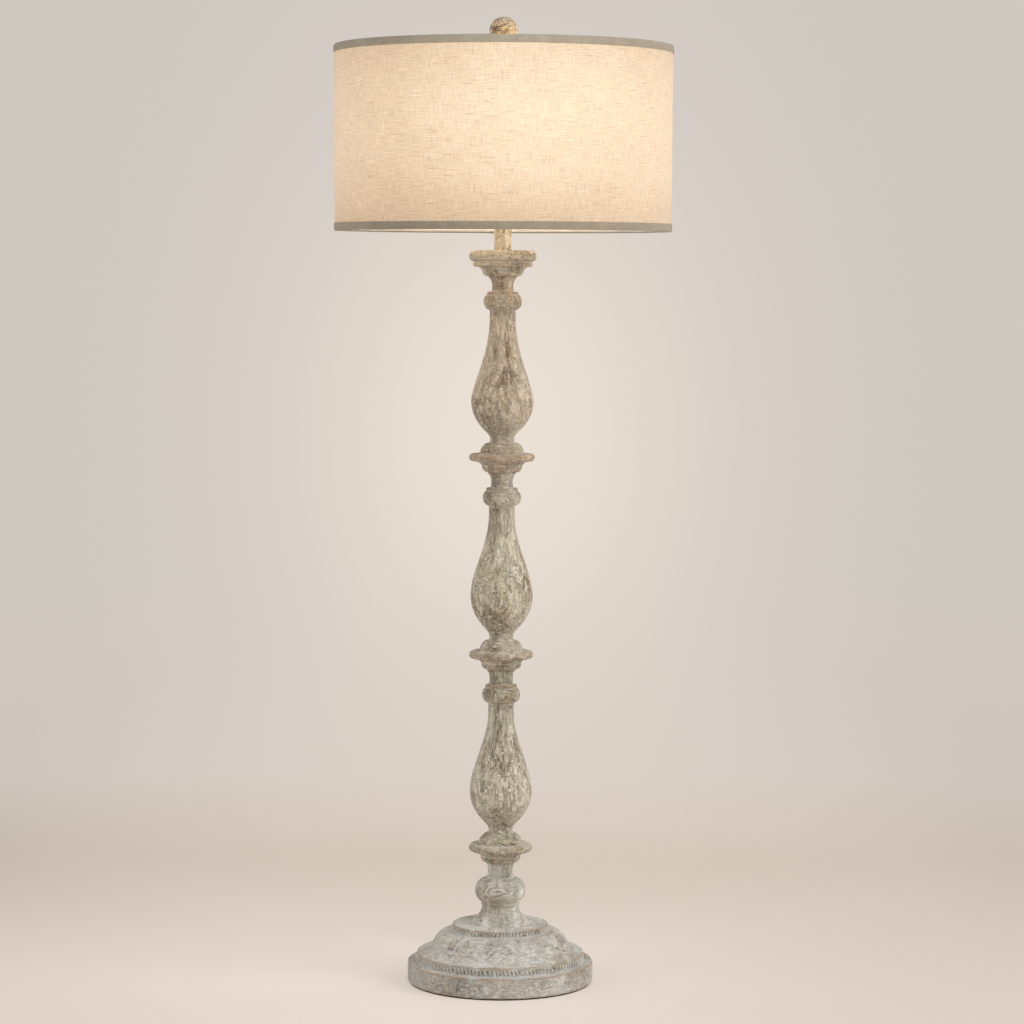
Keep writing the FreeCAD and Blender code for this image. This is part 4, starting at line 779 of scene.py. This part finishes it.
# ---------------------------------------------------------------- the shade
def woven_linen():
    """Slub linen lit from inside. Threads both ways are noise drawn out along the cloth's two axes,
    with thick brown and pale slubs. The glow is strongest at the bulb's height and falls off up and
    down by the square of the distance."""
    finish = Finish("shade_linen", Roughness=0.92, Specular_IOR_Level=0.15, Sheen_Weight=0.25,
                    Sheen_Roughness=0.5)
    weft = finish.noise(finish.cloth_place((0.035, 1.0, 1.0)), 0.0008, 2.0, 0.6)
    warp = finish.noise(finish.cloth_place((1.0, 0.035, 1.0)), 0.0008, 2.0, 0.6)
    slub_across = finish.noise(finish.cloth_place((0.070, 1.0, 1.0)), 0.0020, 2.0, 0.60)
    slub_up = finish.noise(finish.cloth_place((1.0, 0.085, 1.0)), 0.0020, 2.0, 0.60)
    speck = finish.noise(finish.cloth_place((1.0, 1.0, 1.0)), 0.0021, 3.0, 0.7)
    cloud = finish.noise(finish.cloth_place((0.6, 1.0, 1.0)), 0.05, 2.0)
    dark = (slub_across.above(0.66, 0.10) * 0.75 + slub_up.above(0.67, 0.10) * 0.60
            + speck.above(0.60, 0.14) * 0.55).clamped()
    pale = ((1 - slub_across).above(0.66, 0.12) * 0.6 + (1 - slub_up).above(0.66, 0.12) * 0.35).clamped()
    thread = weft * 0.5 + warp * 0.5
    tone = 0.58 + (thread - 0.5) * 2.0 + (cloud - 0.5) * 0.22
    cloth = finish.mix(tone.clamped(), painted(146, 131, 112), painted(190, 179, 161))
    cloth = finish.mix(dark * 0.66, cloth, painted(142, 106, 72))
    cloth = finish.mix(pale * 0.55, cloth, painted(206, 197, 180))
    here = finish.node("UVMap", {"uv_map": "cloth"})
    height = finish.node("SeparateXYZ", {}, {"Vector": here}, output="Y")
    away = (height - GLOW_HEIGHT) * (1 / GLOW_REACH)
    glow = (1 - away * away).clamped()
    lit = finish.mix(glow, painted(146, 119, 91), painted(178, 156, 130))
    through = finish.mix(1.0, cloth, (2.45, 2.75, 3.3, 1.0), "MULTIPLY")
    finish.set(Base_Color=cloth, Emission_Color=finish.mix(1.0, lit, through, "MULTIPLY"),
               Emission_Strength=1.0)
    finish.bump(thread + dark * 0.5 + pale * 0.4, 0.35 * MM)
    return finish


def woven_tape():
    """Folded tape: fine threads across it and along it, slightly cloudy, with small brown flecks."""
    finish = Finish("trim_tape", Roughness=0.85, Specular_IOR_Level=0.2, Sheen_Weight=0.2)
    rib = finish.noise(finish.cloth_place((1.0, 0.06, 1.0)), 0.0007, 2.0, 0.6)
    across = finish.noise(finish.cloth_place((0.05, 1.0, 1.0)), 0.0008, 2.0, 0.6)
    fleck = finish.noise(finish.cloth_place((0.5, 1.0, 1.0)), 0.0018, 3.0, 0.6)
    cloud = finish.noise(finish.cloth_place((1.0, 1.0, 1.0)), 0.03, 2.0)
    tone = (0.5 + (rib - 0.5) * 0.8 + (across - 0.5) * 0.6 + (cloud - 0.5) * 0.5).clamped()
    colour = finish.mix(tone, painted(120, 109, 92), painted(174, 164, 146))
    colour = finish.mix(fleck.above(0.64, 0.12) * 0.5, colour, painted(112, 92, 66))
    finish.set(Base_Color=colour)
    finish.bump(rib + across, 0.3 * MM)
    return finish


def drum_radii(node):
    """A drum's sizes from its own section: outer radius at the foot and at the top, thickness, and
    the heights of its foot and its top."""
    loop, _ = cad_section(node)
    foot, top = loop[:, 1].min(), loop[:, 1].max()
    at_foot = loop[loop[:, 1] < foot + SAME_LEVEL, 0]
    at_top = loop[loop[:, 1] > top - SAME_LEVEL, 0]
    return at_foot.max(), at_top.max(), at_foot.max() - at_foot.min(), foot, top


FOOT_RADIUS, CROWN_RADIUS, CLOTH_THICKNESS, SHADE_FOOT, SHADE_CROWN = drum_radii("shade_fabric")
SHADE_HEIGHT = SHADE_CROWN - SHADE_FOOT
GLOW_HEIGHT = 0.53 * SHADE_HEIGHT
GLOW_REACH = 0.5 * SHADE_HEIGHT
OVERLAP = 13 * MM
CLOTH_EDGE = 0.4 * MM         # how far the cloth's two edges stay inside the drum's


def outer_radius(height):
    """The drum's outer radius at a height: it widens evenly from one edge to the other."""
    return FOOT_RADIUS + (CROWN_RADIUS - FOOT_RADIUS) * (height - SHADE_FOOT) / SHADE_HEIGHT


def linen_drum():
    """The cloth once round the drum, from the rear to the rear, where its end laps over its start.
    The radius is the drum's less 0.19 mm. The lap rises by one thickness over 4 mm, and five slow
    waves of 0.15 mm, strongest at mid height, keep the cloth from being a perfect cone."""
    girth = TURN * (FOOT_RADIUS + CROWN_RADIUS) / 2
    across = np.linspace(0, girth + OVERLAP, 640)[None, :]
    height = np.linspace(CLOTH_EDGE, SHADE_HEIGHT - CLOTH_EDGE, 72)[:, None]
    angle = math.pi / 2 + across / girth * TURN
    lap = slope(across, girth - 4 * MM, girth) * CLOTH_THICKNESS
    wave_size = 0.15 * MM
    wave = wave_size * np.sin(across / girth * TURN * 5 + 1.0) * np.sin(height / SHADE_HEIGHT * math.pi)
    radius = outer_radius(SHADE_FOOT + height) - 0.04 * MM + lap - wave_size + wave
    places = np.broadcast_arrays(radius * np.cos(angle), radius * np.sin(angle), SHADE_FOOT + height)
    points = np.stack(places, axis=-1)
    cloth = np.stack(np.broadcast_arrays(across, height), axis=-1)
    piece = surface("shade_linen_drum", points, closed_around=False, cloth=cloth)
    wear(piece, woven_linen())
    thicken(piece, 0.55 * MM, -1)
    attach(piece, "shade")
    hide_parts("shade_fabric")
    girth + OVERLAP
    SHADE_HEIGHT - 2 * CLOTH_EDGE


def thicken(piece, thickness, offset):
    """Gives a sheet its thickness: -1 inwards, 0 both ways, 1 outwards."""
    solid = piece.modifiers.new("thickness", "SOLIDIFY")
    solid.thickness = thickness
    solid.offset = offset
    solid.use_even_offset = True


def folded_tape(name, node, edge, upturned, finish):
    """Tape folded over the drum's edge. Its section is a path: up the outside with a slight puff and
    a turned lower edge, round a small corner, level over the cloth, then round the wire ring; at the
    bottom edge the path is the same one turned over. At the rear the tape's end laps over its start,
    lifted square to the path by a little more than one thickness."""
    wire = 1.9 * MM
    tape_width = 11.2 * MM
    clear = 0.42 * MM        # the tape's middle stands this far out from the drum
    corner_foot = 1.0 * MM   # the corner starts this far from the edge
    out = outer_radius(edge)
    ring_middle = out - 1.6 * MM - wire
    share = np.linspace(0, 1, 22)
    leg_down = -tape_width + share * (tape_width - corner_foot)
    puff = clear + 0.22 * MM * np.sin(share * math.pi) - 0.16 * MM * np.exp(-(share / 0.10) ** 2)
    bend = np.linspace(0, math.pi / 2, 7)[1:]
    corner_r = clear - 0.9 * MM * (1 - np.cos(bend))
    corner_z = -corner_foot + 1.35 * MM * np.sin(bend)
    round_wire = np.linspace(math.pi / 2, math.pi / 2 + 1.15, 8)
    wrap = wire + 0.35 * MM
    radius = np.concatenate([out + puff, out + corner_r, ring_middle + wrap * np.cos(round_wire)])
    height = np.concatenate([leg_down, corner_z, -wire + wrap * np.sin(round_wire)])
    if upturned:
        radius, height = radius[::-1], -height[::-1]
    travel = travelled(np.stack([radius, height], axis=1))
    girth = TURN * out
    lap = 16 * MM
    across = np.linspace(0, girth + lap, 620)[None, :]
    angle = math.pi / 2 + 0.02 + across / girth * TURN
    away_out, away_up = np.gradient(height, travel), -np.gradient(radius, travel)
    rise = slope(across, girth - 3 * MM, girth) * 0.6 * MM
    pull = 0.10 * MM * (lattice_noise(across / girth, 0 * across, 90, 2, 71) - 0.5)
    reach = radius[:, None] + (rise + pull) * away_out[:, None]
    level = edge + height[:, None] + rise * away_up[:, None]
    points = np.stack(np.broadcast_arrays(reach * np.cos(angle), reach * np.sin(angle), level), axis=-1)
    cloth = np.stack(np.broadcast_arrays(across, travel[:, None]), axis=-1)
    piece = surface(name, points, closed_around=False, cloth=cloth)
    wear(piece, finish)
    thicken(piece, 0.5 * MM, 0)
    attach(piece, "shade")
    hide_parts(node)
    girth + lap


linen_drum()
tape = woven_tape()
folded_tape("shade_top_tape", "shade_top_trim", SHADE_CROWN, False, tape)
folded_tape("shade_bottom_tape", "shade_bottom_trim", SHADE_FOOT, True, tape)


# ---------------------------------------------------------------- finishes of the CAD's own pieces
def metal(name, bright, dull, roughness, brushed, stain):
    """Metal with fine brushing along one axis, faint handling marks and a dull film in patches."""
    bright, dull = painted(*bright), painted(*dull)
    finish = Finish(name, Metallic=1.0)
    brush = finish.noise(finish.place(brushed), 0.0006, 3.0, 0.6)
    film = finish.noise(finish.place(), 0.012, 4.0, 0.6)
    spot = finish.noise(finish.place(), 0.0016, 2.0, 0.5)
    filmed = film.above(0.56, 0.3)
    dulled = (filmed * stain + spot.above(0.70, 0.08) * stain).clamped()
    finish.set(Base_Color=finish.mix(dulled, bright, dull),
               Roughness=roughness + (brush - 0.5) * 0.18 + filmed * 0.14)
    finish.bump(brush * 0.6 + spot * 0.2, 0.05 * MM)
    return finish


def moulding(name, low, high, roughness, grain_size, depth):
    """A moulded or pressed stuff with a fine even grain and a slight cloudiness."""
    low, high = painted(*low), painted(*high)
    finish = Finish(name, Specular_IOR_Level=0.4)
    fine = finish.noise(finish.place(), grain_size, 3.0, 0.6)
    cloud = finish.noise(finish.place(), grain_size * 14, 2.0)
    finish.set(Base_Color=finish.mix((fine * 0.6 + cloud * 0.4).above(0.5, 0.5), low, high),
               Roughness=roughness + (fine - 0.5) * 0.2)
    finish.bump(fine, depth)
    return finish


def lit_glass():
    """Frosted glass over a burning filament: warm and brightest at its middle, with a fine frost."""
    finish = Finish("bulb_glass", Transmission_Weight=0.35, IOR=1.45, Emission_Strength=1.0)
    frost = finish.noise(finish.place(), 0.0009, 2.0)
    cloud = finish.noise(finish.place(), 0.02, 2.0)
    finish.set(Base_Color=finish.mix(cloud, painted(246, 236, 220), painted(255, 250, 240)),
               Emission_Color=finish.mix(cloud, painted(255, 214, 160), painted(255, 226, 184)),
               Roughness=0.42 + (frost - 0.5) * 0.2)
    finish.bump(frost, 0.05 * MM)
    return finish


def clear_stem():
    """Clear glass with faint upright streaks."""
    finish = Finish("stem_glass", Transmission_Weight=0.9, IOR=1.5)
    streak = finish.noise(finish.place((1.0, 1.0, 0.1)), 0.003, 2.0)
    finish.set(Base_Color=finish.mix(streak, painted(236, 238, 236), painted(250, 250, 248)),
               Roughness=0.05 + streak * 0.08)
    return finish


def glowing_wire():
    """The filament: hot metal whose coils are brighter and dimmer in turn."""
    finish = Finish("filament", Metallic=0.6, Roughness=0.5, Emission_Strength=8.0)
    coil = finish.noise(finish.place((1.0, 1.0, 3.0)), 0.0008, 2.0)
    finish.set(Base_Color=painted(200, 160, 100),
               Emission_Color=finish.mix(coil, painted(255, 176, 84), painted(255, 216, 140)))
    return finish


def white_liner():
    """White styrene with a faint stipple, the glued lap at the rear as a slightly darker line, and a
    faint warm painted glow in the emission, standing in for the bulb's light on it.
    """
    finish = Finish("shade_liner", Roughness=0.5, Specular_IOR_Level=0.4)
    stipple = finish.noise(finish.place(), 0.0009, 2.0)
    cloud = finish.noise(finish.place(), 0.08, 2.0)
    here = finish.node("TexCoord", output="Object")
    across = finish.node("SeparateXYZ", {}, {"Vector": here}, output="X")
    depth = finish.node("SeparateXYZ", {}, {"Vector": here}, output="Y")
    lap = finish.line(across, -0.007, 900.0) * depth.above(0.0, 0.01)
    colour = finish.mix(cloud, painted(236, 231, 222), painted(246, 243, 236))
    # The warm emission is painted light: the liner is no lamp, and it stands in for the bulb's light
    # falling on it
    finish.set(Base_Color=finish.mix(lap * 0.4, colour, painted(176, 166, 150)),
               Emission_Color=painted(255, 226, 188), Emission_Strength=0.16)
    finish.bump(stipple + lap * 2, 0.04 * MM)
    return finish


brass = metal("brass", (214, 178, 112), (150, 112, 62), 0.30, (1.0, 1.0, 12.0), 0.45)
steel = metal("steel", (196, 197, 198), (140, 138, 132), 0.36, (1.0, 1.0, 6.0), 0.35)
iron = moulding("ballast_iron", (46, 45, 44), (74, 72, 70), 0.72, 0.0018, 0.5 * MM)
black = moulding("black_moulding", (24, 24, 25), (38, 37, 37), 0.42, 0.0006, 0.04 * MM)
fibre_board = moulding("fibre", (150, 126, 92), (186, 164, 126), 0.7, 0.0012, 0.08 * MM)
foam = moulding("pad", (22, 22, 22), (42, 41, 40), 0.95, 0.0009, 0.25 * MM)
for finish, nodes in (
        (foam, "floor_pad"),
        (iron, "ballast_weight"),
        (black, "cord_bushing socket_interior switch_key bulb_insulator"),
        (steel, "bottom_washer bottom_nut pipe_base pipe_lower pipe_middle pipe_upper pipe_top "
                "pipe_couplings bulb_contact bulb_cap shade_top_ring shade_bottom_ring spider_arms"),
        (brass, "neck_washer neck_nut harp_saddle socket_cap socket_shell screw_shell centre_contact "
                "terminal_screws harp ferrule_left ferrule_right harp_post spider_hub finial_insert"),
        (fibre_board, "socket_insulator"),
        (lit_glass(), "bulb_glass"),
        (clear_stem(), "bulb_stem"),
        (glowing_wire(), "bulb_filament"),
        (white_liner(), "shade_liner")):
    for node in nodes.split():
        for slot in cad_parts[node].material_slots:
            slot.material = finish.material


# ---------------------------------------------------------------- camera, lights and stage
def look_at_the_lamp():
    """The photograph's view: a long lens a little above the middle, tipped down, a shade off level."""
    camera = bpy.data.cameras.new("view")
    camera.sensor_width = 36.0
    camera.lens = 112.5
    holder = bpy.data.objects.new("view", camera)
    bpy.context.scene.collection.objects.link(holder)
    pitch, aside, roll = math.radians(4.3604), math.radians(0.1817), math.radians(0.25)
    holder.matrix_world = (Matrix.Translation((0, -4.89005, 1.1003))
                           @ Matrix.Rotation(-aside, 4, "Z")
                           @ Matrix.Rotation(math.pi / 2 - pitch, 4, "X")
                           @ Matrix.Rotation(roll, 4, "Z"))
    bpy.context.scene.camera = holder


look_at_the_lamp()
bpy.context.scene.view_settings.view_transform = "Standard"


def lamp_light(name, kind, place, target, power, colour, size):
    """A light at a place that faces a target; an area light is a square of that size."""
    light = bpy.data.lights.new(name, kind)
    light.energy = power
    light.color = colour
    if kind == "AREA":
        light.size = size
    else:
        light.shadow_soft_size = size
    holder = bpy.data.objects.new(name, light)
    bpy.context.scene.collection.objects.link(holder)
    towards = np.array(target, dtype=float) - np.array(place, dtype=float)
    flat = math.hypot(towards[0], towards[1])
    holder.location = place
    holder.rotation_euler = (math.atan2(flat, -towards[2]), 0, math.atan2(-towards[0], towards[1]))
    holder.visible_camera = False
    return holder


lamp_light("key", "AREA", (3.2, -1.7, 2.0), (0, 0, 0.6), 88, (1.0, 0.99, 0.975), 2.4)
lamp_light("fill", "AREA", (-3.2, -1.1, 1.5), (0, 0, 0.5), 33, (1.0, 0.985, 0.96), 2.4)
lamp_light("rim_left", "AREA", (-2.6, 1.4, 1.4), (0, 0, 0.6), 12, (1.0, 0.99, 0.97), 1.2)
lamp_light("rim_right", "AREA", (2.6, 1.4, 1.4), (0, 0, 0.6), 14, (1.0, 0.99, 0.97), 1.2)
GLOW_RING = 55 * MM           # the three glows round the bulb stand this far from the axis
for turn in (-0.5, 0.83, 2.17):
    place = (GLOW_RING * math.cos(turn * math.pi), GLOW_RING * math.sin(turn * math.pi), 1.292)
    lamp_light(f"glow_{turn}", "POINT", place, (0, 0, 0), 0.5, (1.0, 0.80, 0.55), 0.02)
snoot = lamp_light("snoot", "SPOT", (0.1, -3.2, 1.75), (0.0, 0, 1.35), 215, (0.94, 0.99, 1.0), 0.1)
low_light = lamp_light("low_light", "SPOT", (0.4, -1.6, 3.6), (0.0, 0, 0.08), 195,
                       (1.0, 0.99, 0.98), 0.4)
for spot, width in ((snoot, 11), (low_light, 13)):
    spot.data.spot_size = math.radians(width)
    spot.data.spot_blend = 1.0

PAPER = painted(208, 201, 194)


def studio_air():
    """The world: even light on the lamp, and to the camera the plain colour of the paper."""
    world = bpy.data.worlds.new("studio")
    bpy.context.scene.world = world
    world.use_nodes = True
    nodes, link = world.node_tree.nodes, world.node_tree.links.new
    room = nodes["Background"]
    room.inputs["Color"].default_value = (1.0, 0.99, 0.975, 1)
    room.inputs["Strength"].default_value = 0.46
    paper = nodes.new("ShaderNodeBackground")
    paper.inputs["Color"].default_value = PAPER
    shown = nodes.new("ShaderNodeMixShader")
    link(nodes.new("ShaderNodeLightPath").outputs["Is Camera Ray"], shown.inputs[0])
    link(room.outputs[0], shown.inputs[1])
    link(paper.outputs[0], shown.inputs[2])
    link(shown.outputs[0], nodes["World Output"].inputs["Surface"])


studio_air()


def sweep():
    """Floor and wall in one sheet: flat, then a quarter circle up, then straight. To the camera the
    wall is paper of its own colour with painted light on it: a painted glow of the lamp, palest behind
    it, and near the floor painted shade darker towards the sides. The floor is lit, so it holds the
    shadow; its colour also has a painted pool of light left of the lamp and painted shade darker towards
    the back, most at the sides.
    It is clear from its back, so that the lamp shows from behind and from below."""
    front, half_width, top = -9.0, 9.0, 7.0
    bend_at, bend = 1.0, 0.8
    below_the_pad = 0.2 * MM
    turn = np.linspace(0, math.pi / 2, 24)
    back = np.concatenate([[front], bend_at + bend * np.sin(turn), [bend_at + bend]])[:, None]
    level = np.concatenate([[0.0], bend * (1 - np.cos(turn)), [top]])[:, None] - below_the_pad
    aside = np.linspace(-half_width, half_width, 5)[None, :]
    points = np.stack(np.broadcast_arrays(aside, back, level), axis=-1)
    piece = surface("sweep", points, closed_around=False)

    finish = Finish("studio_paper", Roughness=0.9, Specular_IOR_Level=0.05)
    here = finish.node("TexCoord", output="Object")
    x, y, z = (finish.node("SeparateXYZ", {}, {"Vector": here}, output=axis) for axis in "XYZ")
    # A painted glow of the lamp's light on the wall, palest behind the lamp
    up = z - 0.76
    off = x * x * 5.2 + up * up * 2.6
    painted_lamp_glow = finish.node("Math", {"operation": "EXPONENT"}, {0: off * -1.0})
    # Near the floor the paper is darker towards the sides: painted fall-off of the light
    low_paper = finish.mix((x * x * 1.1).clamped(), painted(222, 210, 199), painted(205, 195, 186))
    wall = finish.mix(painted_lamp_glow, PAPER, painted(235, 224, 212))
    wall = finish.mix((1 - z * 2.2).clamped() * 0.65, wall, low_paper)
    # A painted pool of light on the floor, left of the lamp
    left, behind = x + 0.40, y + 0.1
    painted_light_pool = finish.node("Math", {"operation": "EXPONENT"}, {0: (left * left + behind * behind) * -2.5})
    # The floor is darker towards the back: painted fall-off of the light
    floor = finish.mix((0.5 - y * 0.45).clamped(), low_paper, painted(227, 218, 210))
    floor = finish.mix(painted_light_pool * 0.8, floor, painted(238, 228, 218))
    finish.set(Base_Color=floor)

    upright = z.above(0.05, 0.10)
    glow = finish.node("Emission", {}, {"Color": finish.mix(upright, floor, wall), "Strength": 1.0})
    rays = ("Camera", "Glossy", "Transmission")
    seen = sum(finish.node("LightPath", output=f"Is {kind} Ray") for kind in rays).clamped()
    lit = Quantity(finish, finish.surface.outputs[0])
    both = finish.node("MixShader", {}, {0: seen * (upright * 0.6 + 0.4), 1: lit, 2: glow})
    its_back = finish.node("NewGeometry", output="Backfacing")
    clear = finish.node("MixShader", {}, {0: its_back, 1: both, 2: finish.node("BsdfTransparent")})
    finish.tree.links.new(clear.output, finish.end.inputs["Surface"])
    wear(piece, finish)


sweep()
